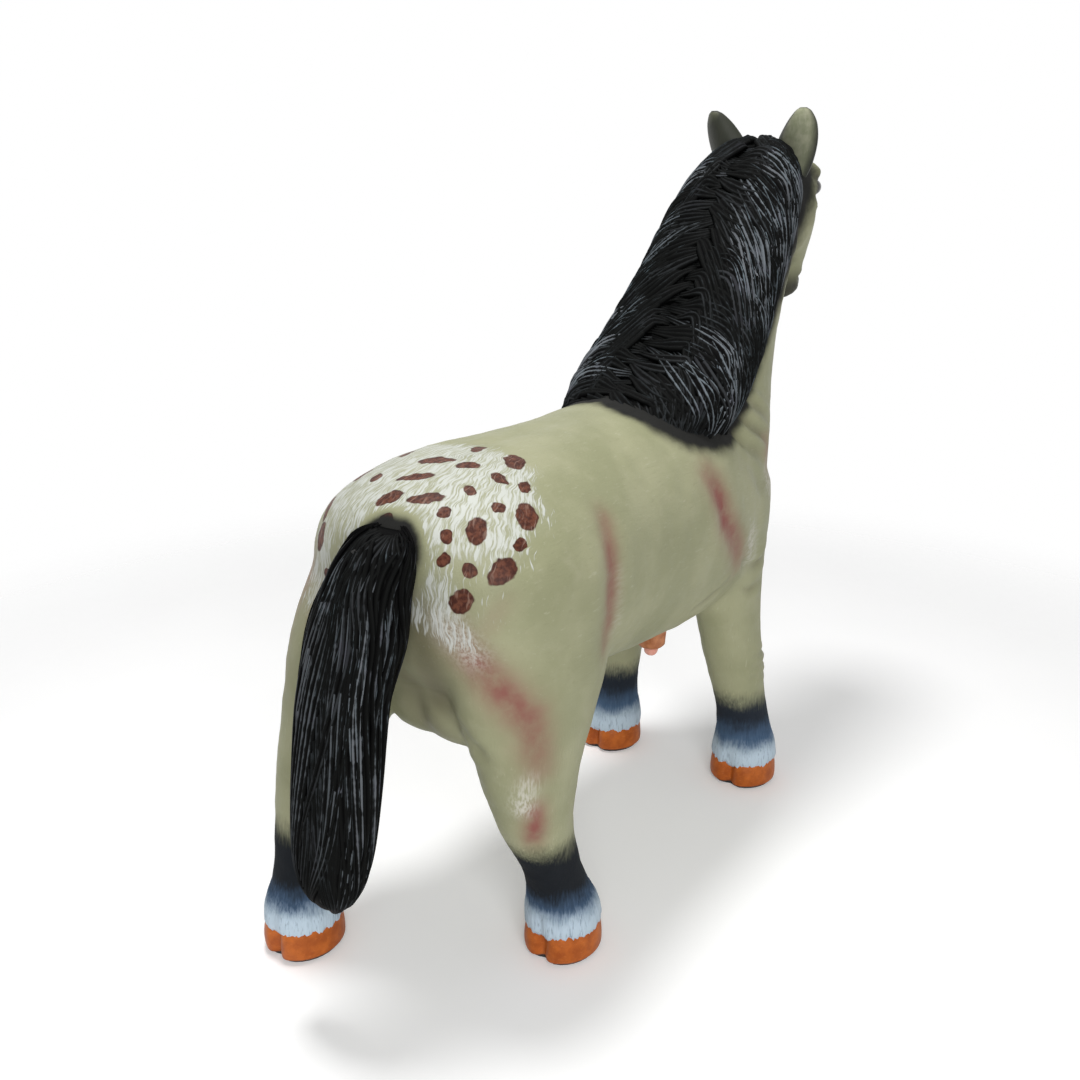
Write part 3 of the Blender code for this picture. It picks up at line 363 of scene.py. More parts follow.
def set_points(ob, co):
    ob.data.vertices.foreach_set("co", np.asarray(co, float).ravel())
    ob.data.update()


def path_distance(co, path):
    """Distance from points to a polyline, and how far along it, 0 to 1."""
    path = np.array(path, float)
    best = np.full(len(co), 9.0)
    along = np.zeros(len(co))
    for k, (a, b) in enumerate(zip(path[:-1], path[1:])):
        d = b - a
        t = np.clip(((co - a) @ d) / (d @ d), 0, 1)
        gap = np.linalg.norm(co - (a + t[:, None] * d), axis=1)
        near = gap < best
        best[near] = gap[near]
        along[near] = (k + t[near]) / (len(path) - 1)
    return best, along


def bell(distance, width):
    return np.exp(-(distance / width) ** 2)


def near(co, width, *path):
    """1 on a path given in millimetres, fading to 0 beside it."""
    return bell(path_distance(co, mm(*path))[0], width)


def step(value, low, high):
    t = np.clip((value - low) / (high - low), 0, 1)
    return t * t * (3 - 2 * t)


def mirrored(path):
    return [(2 * MARK_MIDDLE - p[0],) + tuple(p[1:]) for p in path]


def keep_value(ob, name, values):
    data = ob.data.attributes.get(name) or ob.data.attributes.new(name, "FLOAT", "POINT")
    data.data.foreach_set("value", np.asarray(values, np.float32))


def keep_rest(ob):
    data = ob.data.attributes.get("rest") or ob.data.attributes.new("rest", "FLOAT_VECTOR", "POINT")
    data.data.foreach_set("vector", points(ob.data).astype(np.float32).ravel())


# ---- node materials

class Nodes:
    """Adds nodes to one tree, and links or sets their inputs."""

    def __init__(self, tree):
        self.tree = tree

    def add(self, kind, inputs=None, **settings):
        node = self.tree.nodes.new(kind)
        for key, value in settings.items():
            setattr(node, key, value)
        for key, value in (inputs or {}).items():
            self.put(node.inputs[key], value)
        return node

    def put(self, socket, value):
        if isinstance(value, bpy.types.NodeSocket):
            self.tree.links.new(value, socket)
        elif isinstance(value, tuple) and socket.type == "RGBA":
            socket.default_value = value[:3] + (1.0,)
        else:
            socket.default_value = value

    def math(self, operation, a, b=0.0, clamp=False):
        node = self.add("ShaderNodeMath", {0: a, 1: b}, operation=operation, use_clamp=clamp)
        return node.outputs[0]

    def times(self, a, b, clamp=False):
        return self.math("MULTIPLY", a, b, clamp)

    def plus(self, a, b):
        return self.math("ADD", a, b)

    def minus(self, a, b):
        return self.math("SUBTRACT", a, b)


class Paint(Nodes):
    """Builds one material."""

    def __init__(self, name):
        self.mat = bpy.data.materials.new(name)
        self.mat.use_nodes = True
        super().__init__(self.mat.node_tree)
        self.shader = self.tree.nodes["Principled BSDF"]

    def vector(self, operation, a, b=None, scale=None):
        node = self.add("ShaderNodeVectorMath", {0: a}, operation=operation)
        if b is not None:
            self.put(node.inputs[1], b)
        if scale is not None:
            self.put(node.inputs["Scale"], scale)
        return node.outputs["Value" if operation == "LENGTH" else 0]

    def mix(self, factor, a, b):
        return self.add("ShaderNodeMix", {0: factor, 6: a, 7: b}, data_type="RGBA").outputs[2]

    def span(self, value, low, high, to_low=0.0, to_high=1.0):
        node = self.add("ShaderNodeMapRange", {0: value, 1: low, 2: high, 3: to_low, 4: to_high},
                        interpolation_type="SMOOTHSTEP")
        return node.outputs[0]

    def noise(self, vector, scale, detail=2.0, rough=0.5, w=None):
        inputs = {"Vector": vector, "Scale": scale, "Detail": detail, "Roughness": rough}
        if w is not None:
            inputs["W"] = w
        dimensions = "3D" if w is None else "4D"
        return self.add("ShaderNodeTexNoise", inputs, noise_dimensions=dimensions).outputs["Fac"]

    def swayed(self, vector, scale, amount):
        """A place moved a little, one way here and another there."""
        node = self.add("ShaderNodeTexNoise", {"Vector": vector, "Scale": scale, "Detail": 1.0})
        off = self.vector("SUBTRACT", node.outputs["Color"], (0.5, 0.5, 0.5))
        return self.vector("ADD", vector, self.vector("SCALE", off, scale=amount))

    def value(self, name):
        return self.add("ShaderNodeAttribute", attribute_name=name).outputs["Fac"]

    def rest(self):
        return self.add("ShaderNodeAttribute", attribute_name="rest").outputs["Vector"]

    def place(self):
        return self.add("ShaderNodeTexCoord").outputs["Object"]

    def bump(self, height, strength, distance):
        node = self.add("ShaderNodeBump", {"Height": height, "Strength": strength, "Distance": distance})
        return node.outputs[0]

    def finish(self, colour, roughness, normal=None, metallic=0.0, coat=0.0, coat_rough=0.2, specular=None):
        values = {"Base Color": colour, "Roughness": roughness, "Metallic": metallic, "Coat Weight": coat,
                  "Coat Roughness": coat_rough, "Specular IOR Level": specular, "Normal": normal}
        for name, value in values.items():
            if value is not None:
                self.put(self.shader.inputs[name], value)
        return self.mat


def skin_material(spot_frames):
    m = Paint("skin_paint")
    times, plus, minus, mix, span = m.times, m.plus, m.minus, m.mix, m.span
    vector, noise, value = m.vector, m.noise, m.value
    rest = m.rest()
    split = m.add("ShaderNodeSeparateXYZ", {0: rest})
    z = split.outputs[2]
    y = split.outputs[1]
    broad = noise(rest, 9, 3)
    patch = noise(rest, 38, 3, 0.6)
    grain = noise(rest, 320, 2, 0.6)

    # brushed fur direction: along the body on the trunk, downwards on the legs
    trunk_lines = noise(vector("MULTIPLY", rest, (300, 46, 210)), 1, 3, 0.6)
    leg_lines = noise(vector("MULTIPLY", rest, (330, 330, 42)), 1, 3, 0.6)
    legness = span(z, 0.52, 0.4)
    lines = plus(times(trunk_lines, minus(1, legness)), times(leg_lines, legness))

    colour = mix(span(broad, 0.35, 0.7), (0.285, 0.29, 0.172), (0.345, 0.345, 0.215))
    colour = mix(times(span(patch, 0.5, 0.8), 0.35), colour, (0.385, 0.376, 0.255))
    colour = mix(times(span(lines, 0.42, 0.25), 0.3), colour, (0.235, 0.235, 0.14))
    colour = mix(times(span(lines, 0.6, 0.78), 0.4), colour, (0.47, 0.46, 0.34))

    # creases, the rump cleft and the underside beside the tail get a darker brown: partly the figure's own dark
    # wash, partly painted shade
    colour = mix(times(value("crease"), 0.75), colour, (0.085, 0.066, 0.04))

    # pink-brown airbrush
    blush = times(value("blush"), span(patch, 0.1, 0.75, 0.55, 1.1), True)
    colour = mix(blush, colour, (0.235, 0.085, 0.07))
    pale = times(value("pale"), span(lines, 0.38, 0.62, 0.15, 1), True)
    colour = mix(pale, colour, (0.6, 0.58, 0.52))

    # white blanket painted with single brush strokes that fan out over the croup
    fan = vector("SUBTRACT", m.swayed(rest, 42, 0.016), (MIDDLE, 0.17, 0.7))
    fan = vector("MULTIPLY", fan, (1, 1, 0))
    reach = minus(vector("LENGTH", fan), z)
    way = vector("NORMALIZE", fan)
    strokes = noise(vector("SCALE", way, scale=92), 1, 1, 0.5, w=times(reach, 34))
    fine = noise(vector("SCALE", way, scale=165), 1, 1, 0.5, w=times(reach, 52))
    cover = value("blanket")
    limit = span(cover, 0, 1, 0.78, 0.487)
    low = minus(limit, 0.035)
    white = m.add("ShaderNodeMapRange", {0: strokes, 1: low, 2: plus(limit, 0.05)}).outputs[0]
    more = m.add("ShaderNodeMapRange", {0: fine, 1: plus(low, 0.03), 2: plus(limit, 0.09)}).outputs[0]
    white = m.math("MAXIMUM", white, times(more, 0.55))
    white = times(white, span(cover, 0.02, 0.16), True)
    colour = mix(times(span(cover, 0.25, 1), 0.22), colour, (0.44, 0.45, 0.4))
    colour = mix(times(white, 0.8), colour, (0.58, 0.6, 0.57))

    # spots with hand-painted edges
    bent = m.swayed(rest, 75, 0.011)
    nearest = None
    for centre, turn, size in spot_frames:
        local = m.add("ShaderNodeMapping", {"Vector": bent}, vector_type="TEXTURE")
        local.inputs["Location"].default_value = centre
        local.inputs["Rotation"].default_value = turn
        local.inputs["Scale"].default_value = size
        gap = vector("LENGTH", local.outputs[0])
        nearest = gap if nearest is None else m.math("MINIMUM", nearest, gap)
    inside = span(nearest, 1.07, 0.93)
    rim = span(nearest, 0.6, 1)
    body = mix(span(noise(rest, 150, 2), 0.35, 0.7), (0.046, 0.011, 0.006), (0.13, 0.043, 0.023))
    body = mix(times(rim, 0.45), body, (0.03, 0.01, 0.007))
    body = mix(times(span(strokes, 0.56, 0.7), 0.55), body, (0.26, 0.16, 0.12))
    colour = mix(inside, colour, body)

    # black airbrush round the mane and the dock; on the upper neck and the head it spreads wider as painted shade
    # from the mane
    airbrush_and_shade = plus(value("airbrush_and_shade"), times(minus(patch, 0.5), 0.35))
    airbrush_and_shade = times(span(airbrush_and_shade, 0.05, 0.85), span(value("airbrush_and_shade"), 0.02, 0.15), True)
    colour = mix(airbrush_and_shade, colour, (0.012, 0.012, 0.011))

    # black stockings, slate fading into white fur
    wave = times(minus(noise(rest, 30, 3), 0.5), 0.03)
    brush = times(minus(leg_lines, 0.5), 0.03)
    height = plus(plus(z, wave), brush)
    hind = span(y, 0, 0.1)
    top = plus(0.186, times(hind, 0.03))
    black = span(minus(height, top), 0.03, -0.024)
    colour = mix(black, colour, mix(hind, (0.014, 0.019, 0.028), (0.007, 0.009, 0.012)))
    slate = span(plus(height, times(hind, 0.012)), 0.15, 0.098)
    colour = mix(times(slate, 0.85), colour, (0.07, 0.125, 0.215))
    snow = span(height, 0.106, 0.07)
    colour = mix(times(snow, 0.95), colour, (0.52, 0.63, 0.72))
    dip = times(span(leg_lines, 0.46, 0.3), span(height, 0.12, 0.09))
    colour = mix(times(dip, 0.55), colour, (0.075, 0.11, 0.18))

    # nose, lips and eye rims are dark, and so is a band along each jaw
    colour = mix(value("muzzle"), colour, (0.018, 0.017, 0.016))

    fur = plus(plus(times(lines, 0.8), times(grain, 0.35)), times(white, 0.5))
    normal = m.bump(fur, 0.42, 0.0016)
    rough = span(patch, 0.3, 0.7, 0.44, 0.54)
    dull = m.math("MAXIMUM", airbrush_and_shade, minus(black, snow), True)
    rough = plus(rough, times(dull, 0.38))
    return m.finish(colour, rough, normal, coat=0, specular=0.18)


def hair_material(name, strength):
    m = Paint(name)
    rest = m.rest()
    ridge = m.value("ridge")
    seed = m.value("seed")
    patch = m.noise(rest, 26, 2)
    broken = m.noise(rest, 105, 2, 0.5)
    level = m.plus(ridge, m.times(m.minus(broken, 0.5), 0.6))
    level = m.plus(level, m.times(m.minus(patch, 0.5), 0.9))
    level = m.plus(level, m.times(m.minus(seed, 0.5), 0.5))
    brush = m.times(m.span(level, 0.68, 1.04), m.value("brush"), True)
    tint = m.mix(seed, HAIR_BRUSH, (0.2, 0.215, 0.235))
    tint = m.mix(m.span(patch, 0.55, 0.75), tint, (0.17, 0.175, 0.21))
    # near-black, darker still down in the grooves between the ridges as painted shade
    base = m.mix(m.span(ridge, 0, 0.7), (0.0016, 0.0016, 0.0017), (0.006, 0.0064, 0.0062))
    colour = m.mix(m.times(brush, strength), base, tint)
    normal = m.bump(m.plus(m.times(broken, 0.5), m.noise(rest, 520, 1)), 0.25, 0.0008)
    return m.finish(colour, 0.5, normal, specular=0.02)


def simple_material(name, dark, light, scale, rough, metallic=0, stretch=(1, 1, 1), bump=0.15,
                    coat=0, depth=0.0006):
    m = Paint(name)
    where = m.vector("MULTIPLY", m.place(), stretch)
    tone = m.noise(where, scale, 4, 0.6)
    fine = m.noise(where, scale * 7, 2)
    colour = m.mix(m.span(tone, 0.3, 0.7), dark, light)
    normal = m.bump(m.plus(tone, m.times(fine, 0.4)), bump, depth)
    return m.finish(colour, m.span(fine, 0.3, 0.7, rough * 0.85, rough * 1.15), normal,
                    metallic=metallic, coat=coat)


def hoof_material():
    m = Paint("hoof_paint")
    rest = m.rest()
    tone = m.noise(rest, 45, 4, 0.6)
    lines = m.noise(m.vector("MULTIPLY", rest, (160, 160, 420)), 1, 2)
    colour = m.mix(m.span(tone, 0.3, 0.72), (0.34, 0.072, 0.008), (0.52, 0.13, 0.016))
    colour = m.mix(m.times(m.span(lines, 0.55, 0.8), 0.3), colour, (0.68, 0.23, 0.06))
    colour = m.mix(m.value("sole"), colour, (0.12, 0.025, 0.008))
    normal = m.bump(m.plus(tone, m.times(lines, 0.35)), 0.35, 0.0014)
    return m.finish(colour, 0.42, normal, coat=0.05, coat_rough=0.3, specular=0.25)


def ear_material():
    m = Paint("ear_paint")
    rest = m.rest()
    tone = m.noise(rest, 60, 3)
    lines = m.noise(m.vector("MULTIPLY", rest, (330, 330, 50)), 1, 2)
    colour = m.mix(m.span(tone, 0.3, 0.7), (0.27, 0.29, 0.18), (0.4, 0.405, 0.28))
    colour = m.mix(m.times(m.span(lines, 0.55, 0.75), 0.3), colour, (0.52, 0.52, 0.4))
    colour = m.mix(m.value("shade"), colour, (0.02, 0.022, 0.016))
    normal = m.bump(lines, 0.4, 0.0012)
    return m.finish(colour, 0.5, normal, specular=0.2)


# ---- skin

def build_skin():
    shapes = [loft([cross_ring(*row) for row in curve_rows(TRUNK, 60)]),
              loft([span_ring(row) for row in curve_rows(NECK, 40)]),
              loft([span_ring(row) for row in curve_rows(HEAD, 40)])]
    for rows in LEGS.values():
        shapes.append(loft([flat_ring(*row) for row in curve_rows(rows, 60)]))
    for side in (-1, 1):
        for (x, y, z), radius, off in MUSCLES:
            shapes.append(ball((side * x + off, y, z), radius))
    verts, faces = merged(shapes)
    ob = add_mesh("skin", verts + SHIFT, faces)
    return remeshed(ob, SKIN_VOXEL, SKIN_ROUNDS)


def sculpt_skin(ob):
    """Muscle lines, folds and wrinkles pressed into the smooth skin. Returns the mask of painted shade and dark
    wash in the creases.
    """
    co, no = points(ob.data), points(ob.data, "normal")
    move = np.zeros(len(co))
    crease = np.zeros(len(co))

    def press(path, width, depth, dark=0.0, lip=0.0, both=True):
        for line in ((path, mirrored(path)) if both else (path,)):
            gap, along = path_distance(co - MARKS, line)
            fade = np.sin(math.pi * np.clip(along * 0.9 + 0.05, 0, 1)) ** 0.5
            move[:] -= depth * (bell(gap, width) * fade)
            if lip:
                move[:] += lip * bell(gap - 1.9 * width, width) * fade
            # painted shade, partly dark wash, along the pressed fold
            if dark:
                crease[:] = np.maximum(crease, dark * bell(gap, width * 0.8) * fade)

    for path, *shape in ((FLANK, 0.024, 0.005, 0.1, 0.0015), (SHOULDER, 0.02, 0.0045, 0.05, 0.002),
                         (THIGH, 0.024, 0.0035, 0.0, 0.0012)):
        press(path, *shape)
    for path, *shape in FOLDS:
        press(mm(*path), *shape)
    for path, *shape in MIDDLE_LINES:
        press([(MARK_MIDDLE, y, z) for y, z in mm(*path)], *shape, both=False)
    for path, *shape in FACE_LINES:
        press([(MARK_MIDDLE + x, y + FACE_SHIFT, z) for x, y, z in mm(*path)], *shape)

    lump = np.array([noise.noise(Vector(p) * 26.0) + 0.5 * noise.noise(Vector(p) * 60.0) for p in co])
    quiet = 1.0 - step(co[:, 2], 1.2, 1.24)
    move += 0.0011 * lump * quiet
    set_points(ob, co + no * move[:, None])
    return np.clip(crease, 0, 1)


def inside_outline(co, outline):
    """Signed distance in plan to a closed outline, positive inside."""
    outline = np.array(outline, float)
    gap = np.full(len(co), 9.0)
    hits = np.zeros(len(co), int)
    for a, b in zip(outline, np.roll(outline, -1, 0)):
        d = b - a
        t = np.clip(((co[:, :2] - a) @ d) / (d @ d), 0, 1)
        gap = np.minimum(gap, np.linalg.norm(co[:, :2] - (a + t[:, None] * d), axis=1))
        crosses = (a[1] > co[:, 1]) != (b[1] > co[:, 1])
        with np.errstate(divide="ignore", invalid="ignore"):
            x = a[0] + (co[:, 1] - a[1]) / (b[1] - a[1] + 1e-12) * d[0]
        hits += crosses & (co[:, 0] < x)
    return np.where(hits % 2 == 1, gap, -gap)


def paint_skin(ob, crease, hair_tree, tail_tree):
    real = points(ob.data)
    co = real - MARKS
    keep_rest(ob)

    blush = np.zeros(len(co))
    for path, width, amount in BLUSH:
        for line in (path, mirrored(path)):
            gap, along = path_distance(co, line)
            fade = np.clip(np.sin(math.pi * (0.12 + 0.8 * along)), 0, 1) ** 0.5
            blush = np.maximum(blush, amount * bell(gap, width) * fade)
    blush = np.maximum(blush, 0.6 * near(co, 0.03, (150, 470, 620), (165, 455, 540), (172, 470, 440)))
    keep_value(ob, "blush", blush)

    pale = np.zeros(len(co))
    for path, width, amount in PALE:
        for line in (path, mirrored(path)):
            pale = np.maximum(pale, amount * bell(path_distance(co, line)[0], width))
    keep_value(ob, "pale", pale)

    edge = inside_outline(co, BLANKET)
    ripple = np.array([noise.noise(Vector(p) * 22.0) for p in co]) * 0.016
    cover = step(edge + ripple, -0.022, 0.042)
    low = step(co[:, 2], 0.56, 0.62)
    strip = near(co, 0.04, (-110, 510, 700), (-120, 500, 610), (-128, 487, 560))
    cover = np.maximum(cover * low, strip * step(co[:, 2], 0.53, 0.59))
    left = near(co, 0.052, (50, 480, 735), (110, 485, 680), (115, 480, 600))
    cover = np.maximum(cover, 0.9 * left)
    airbrush_and_shade = np.zeros(len(co))
    near_tail = np.full(len(co), 0.2)
    for i, p in enumerate(real):
        if p[2] > 0.62 and p[1] < 0.12:
            found = hair_tree.find_nearest(p, 0.08)
            if found[0] is not None:
                # black airbrush beside the mane, spread wider from the upper neck up as painted shade that the
                # mane casts on the face
                airbrush_and_shade[i] = bell(max(0.0, found[3] - 0.004), 0.022 + 0.034 * float(step(p[2], 0.78, 1.02)))
        elif p[1] > 0.36 and p[2] > 0.4:
            found = tail_tree.find_nearest(p, 0.14)
            if found[0] is not None:
                near_tail[i] = found[3]
                airbrush_and_shade[i] = bell(max(0.0, found[3] - 0.004), 0.012) * step(p[2], 0.59, 0.65)
    keep_value(ob, "airbrush_and_shade", airbrush_and_shade)
    cover = cover * step(near_tail, 0.012, 0.032)
    keep_value(ob, "blanket", cover)
    # painted shade beside and under the tail, on the inner thighs and under the rump, partly the figure's own dark
    # wash; it joins the crease darkening
    shade = bell(np.maximum(near_tail - 0.012, 0), 0.048) * step(real[:, 2], 0.68, 0.58) * 0.85
    beside = near(co, 0.034, (-78, 492, 610), (-82, 475, 540), (-66, 440, 465))
    under = near(co, 0.045, (-20, 460, 480), (-30, 420, 420), (-50, 380, 400))
    shade = np.maximum(shade, np.maximum(0.8 * beside, 0.65 * under))
    keep_value(ob, "crease", np.maximum(crease, shade))

    muzzle = step(co[:, 2], 0.985, 0.93) * step(co[:, 1], -0.47, -0.52) * (co[:, 2] > 0.85)
    for side in (-1, 1):
        eye = np.linalg.norm(co - np.array((MARK_MIDDLE + side * 0.08, -0.574 + FACE_SHIFT, 1.116)), axis=1)
        muzzle = np.maximum(muzzle, bell(np.maximum(eye - 0.012, 0), 0.01))
        jaw = path_distance(co, [(MARK_MIDDLE + side * x, y, z) for x, y, z in JAW])[0]
        muzzle = np.maximum(muzzle, 0.85 * bell(jaw, 0.02))
    keep_value(ob, "muzzle", np.clip(muzzle, 0, 1) * 0.9)


def spot_places(tree):
    """Where each spot lies on the skin, which way it points and its size."""
    places = []
    for *sizes, turn in SPOTS:
        x, y, z, length, width = (v / 1000 for v in sizes)
        where, normal, _, _ = tree.find_nearest(Vector((x, y, z)) + Vector(MARKS))
        down = Vector((0, 0, -1)) + 0.6 * Vector((0, 1, 0))
        down = (down - normal * down.dot(normal)).normalized()
        across = normal.cross(down).normalized()
        a = math.radians(turn)
        along = (down * math.cos(a) + across * math.sin(a)).normalized()
        side = normal.cross(along).normalized()
        frame_of = Matrix((along, side, normal)).transposed()
        places.append((tuple(where), tuple(frame_of.to_euler()), (length, width, 0.03)))
    return places


# ---- hair

def plain_hair(ob):
    """The dark, unbrushed surface under the locks."""
    for key, value in (("ridge", 0.1), ("seed", 0.3), ("brush", 0.0)):
        keep_value(ob, key, np.full(len(ob.data.vertices), value))
    keep_rest(ob)
    return ob


class Locks:
    """Collects tapered, ridged locks into one mesh."""

    def __init__(self):
        self.verts, self.faces, self.values = [], [], []

    def add(self, spine, up, width, height, ridges, seed, brush, lean=0.0, tip=0.1):
        """spine is the lock's middle line, and up the way out of the surface at each of its points."""
        count = len(spine)
        spine, up = np.array(spine), np.array(up)
        along = np.gradient(spine, axis=0)
        along /= np.linalg.norm(along, axis=1)[:, None] + 1e-12
        side = np.cross(along, up)
        side /= np.linalg.norm(side, axis=1)[:, None] + 1e-12
        out = np.cross(side, along)
        across = 4 * ridges + 1
        base = len(self.verts)
        for k in range(count):
            t = k / (count - 1)
            taper = 0.4 + 0.6 * float(step(t, 0.0, 0.3))
            taper *= 1 - max(0.0, (t - 0.5) / 0.5) ** 1.6 * (1 - tip)
            w = 0.5 * width * taper
            h = height * (0.3 + 0.7 * taper) * min(1.0, t / 0.2 + 0.02)
            h *= 1 - 0.75 * max(0.0, (t - 0.75) / 0.25) ** 2
            painted = brush * math.sin(math.pi * min(1.0, max(0.0, 0.06 + 0.94 * t))) ** 1.5
            for i in range(across):
                u = -1 + 2 * i / (across - 1)
                wave = 0.5 - 0.5 * math.cos(2 * math.pi * i / 4)
                dome = max(0.0, 1 - u * u) ** 0.5
                rise = h * (0.45 * dome + 0.55 * wave * (0.35 + 0.65 * dome) + lean * u * 0.3)
                self.verts.append(spine[k] + side[k] * (u * w) + out[k] * rise)
                self.values.append((wave * (0.4 + 0.6 * dome), seed, painted))
            for u in (0.8, -0.8):
                self.verts.append(spine[k] + side[k] * (u * w) - out[k] * 0.003)
                self.values.append((0.0, seed, 0.0))
        ring = across + 2
        for k in range(count - 1):
            for i in range(ring):
                j = (i + 1) % ring
                self.faces.append((base + k * ring + i, base + k * ring + j,
                                   base + (k + 1) * ring + j, base + (k + 1) * ring + i))
        self.faces.append(tuple(base + i for i in range(ring))[::-1])
        self.faces.append(tuple(base + (count - 1) * ring + i for i in range(ring)))

    def build(self, name):
        ob = add_mesh(name, self.verts, [f[::-1] for f in self.faces])
        keep_rest(ob)
        for key, values in zip(("ridge", "seed", "brush"), zip(*self.values)):
            keep_value(ob, key, values)
        return ob


def mane_point(s, angle):
    """A point of the mane's bulk: s from 0 at the withers to 7 at the poll, angle from the crest."""
    rows = np.array(MANE, float)
    s = max(-0.8, min(len(rows) - 1.0, s))
    i = max(0, min(int(math.floor(s)), len(rows) - 2))
    f = s - i
    row = rows[i] * (1 - f) + rows[i + 1] * f
    y1, z1, y2, z2, half = row
    c, s_ = power(math.cos(angle), 0.85), power(math.sin(angle), 0.85)
    return np.array((half * s_, 0.5 * (y1 + y2) + 0.5 * (y1 - y2) * c,
                     0.5 * (z1 + z2) + 0.5 * (z1 - z2) * c)) + SHIFT


def build_mane_base():
    verts, faces = loft([span_ring(row, 48, 0.85) for row in curve_rows(MANE, 50)])
    ob = add_mesh("mane_base", verts + SHIFT, faces)
    remeshed(ob, MANE_VOXEL, MANE_ROUNDS)
    return plain_hair(ob)


def build_mane(tree, rng):
    locks = Locks()
    for depth, (start, stop, lift) in enumerate(MANE_LAYERS):
        for side in (-1, 1):
            s = -0.25
            while s < 6.9:
                reach = 1.05 + 0.45 * rng.random() if depth < 4 else 0.55
                reach *= min(1.0, 0.5 + 0.3 * max(0.0, s + 0.6))
                s0 = s + 0.1 * rng.random() + 0.55
                reach = min(reach, s0 + 0.6)
                a0 = math.radians(start + rng.uniform(-5, 5)) * (1.0 if depth < 3 else 0.6)
                a1 = math.radians(stop + rng.uniform(-10, 8))
                if s0 < 1.2:
                    a1 *= 0.86
                phase = 1.7 * s + 0.9 * depth + side + rng.uniform(-0.45, 0.45)
                swing = rng.uniform(0.12, 0.2)
                steps = 17
                spine, up = [], []
                for k in range(steps):
                    t = k / (steps - 1)
                    sweep = 0.25 * t + 0.75 * t * t
                    q = s0 + 0.3 * (1 - t) - reach * sweep + swing * math.sin(phase + 5.4 * t)
                    q = max(q, -0.62)
                    a = a0 + (a1 - a0) * (t ** 0.85) + 0.45 * swing * math.cos(phase + 5.6 * t)
                    p = mane_point(q, side * a)
                    where, normal, _, _ = tree.find_nearest(Vector(p))
                    raise_by = lift * min(1.0, t / 0.25) * (1 - 0.55 * t) + 0.0008
                    spine.append(np.array(where) + np.array(normal) * raise_by)
                    up.append(np.array(normal))
                spine = np.array(spine)
                for _ in range(2):
                    spine[1:-1] = 0.5 * spine[1:-1] + 0.25 * (spine[:-2] + spine[2:])
                ridges = rng.choice((2, 3, 3, 4))
                locks.add(spine, up, 0.0098 * ridges + 0.003, 0.0062 + 0.003 * rng.random(), ridges,
                          rng.random(),
                          rng.choice((0.2, 0.8, 1.0, 1.0)) if depth < 4 and s0 > 0.95 else 0.12,
                          rng.uniform(-0.5, 0.5))
                s += 0.18 + 0.05 * rng.random()
    return locks.build("mane_locks")


def tail_point(v, angle):
    rows = curve_rows(TAIL, 41)
    t = max(0.0, min(1.0, v)) * 40
    i = min(int(t), 39)
    z, x, y, half_width, half_depth = rows[i] * (1 - t + i) + rows[i + 1] * (t - i)
    return np.array((x + half_width * math.sin(angle), y + half_depth * math.cos(angle), z)) + SHIFT, \
        np.array((math.sin(angle) / max(half_width, 0.01), math.cos(angle) / max(half_depth, 0.01), 0.0))


def build_tail(rng):
    rings = [flat_ring(z, x, y, 0.9 * w, 0.86 * d, 44) for z, x, y, w, d in curve_rows(TAIL, 60)]
    verts, faces = loft(rings)
    base = add_mesh("tail_base", verts + SHIFT, faces)
    plain_hair(base)
    locks = Locks()
    for layer, (number, lift) in enumerate(TAIL_LAYERS):
        for n in range(number):
            angle = 2 * math.pi * (n + 0.5 * (layer % 2) + rng.uniform(-0.15, 0.15)) / number
            v0 = rng.uniform(0.0, 0.05) + (0.14 * layer * rng.random())
            v1 = min(1.0, v0 + (rng.uniform(0.8, 1.0) if layer == 0 else rng.uniform(0.45, 0.85)))
            phase = 2.2 * math.sin(angle) + 1.3 * layer + rng.uniform(-0.7, 0.7)
            swing = rng.uniform(0.3, 0.6)
            steps = 44
            spine, up = [], []
            for k in range(steps):
                t = k / (steps - 1)
                v = v0 + (v1 - v0) * t
                a = angle + swing * math.sin(phase + 5.5 * t) * (0.3 + 0.7 * t) + 0.25 * t * math.sin(angle)
                p, n_out = tail_point(v, a)
                n_out /= np.linalg.norm(n_out)
                spine.append(p + n_out * (lift - 0.003))
                up.append(n_out)
            ridges = rng.choice((2, 3, 4, 5))
            locks.add(spine, up, 0.0085 * ridges + 0.003, 0.0062, ridges,
                      rng.random(), rng.choice((0.2, 0.6, 0.9)), rng.uniform(-0.4, 0.4), 0.15)
    return base, locks.build("tail_locks")


def build_forelock(tree, rng):
    locks = Locks()
    for n in range(15):
        x = rng.uniform(-0.02, 0.02)
        spine, up = [], []
        for k in range(12):
            t = k / 11
            y = -0.49 - 0.105 * t + 0.012 * math.sin(3 * t + n)
            z = 1.196 - 0.105 * t ** 1.6
            guess = Vector((x * (1 - 0.5 * t) + 0.006 * math.sin(4 * t + 1.7 * n), y, z)) + Vector(SHIFT)
            where, normal, _, _ = tree.find_nearest(guess)
            spine.append(np.array(where) + np.array(normal) * (0.004 * (1 - 0.6 * t)))
            up.append(np.array(normal))
        locks.add(spine, up, 0.017, 0.006, 2, rng.random(), 0.7)
    return locks.build("forelock_locks")


# ---- other pieces

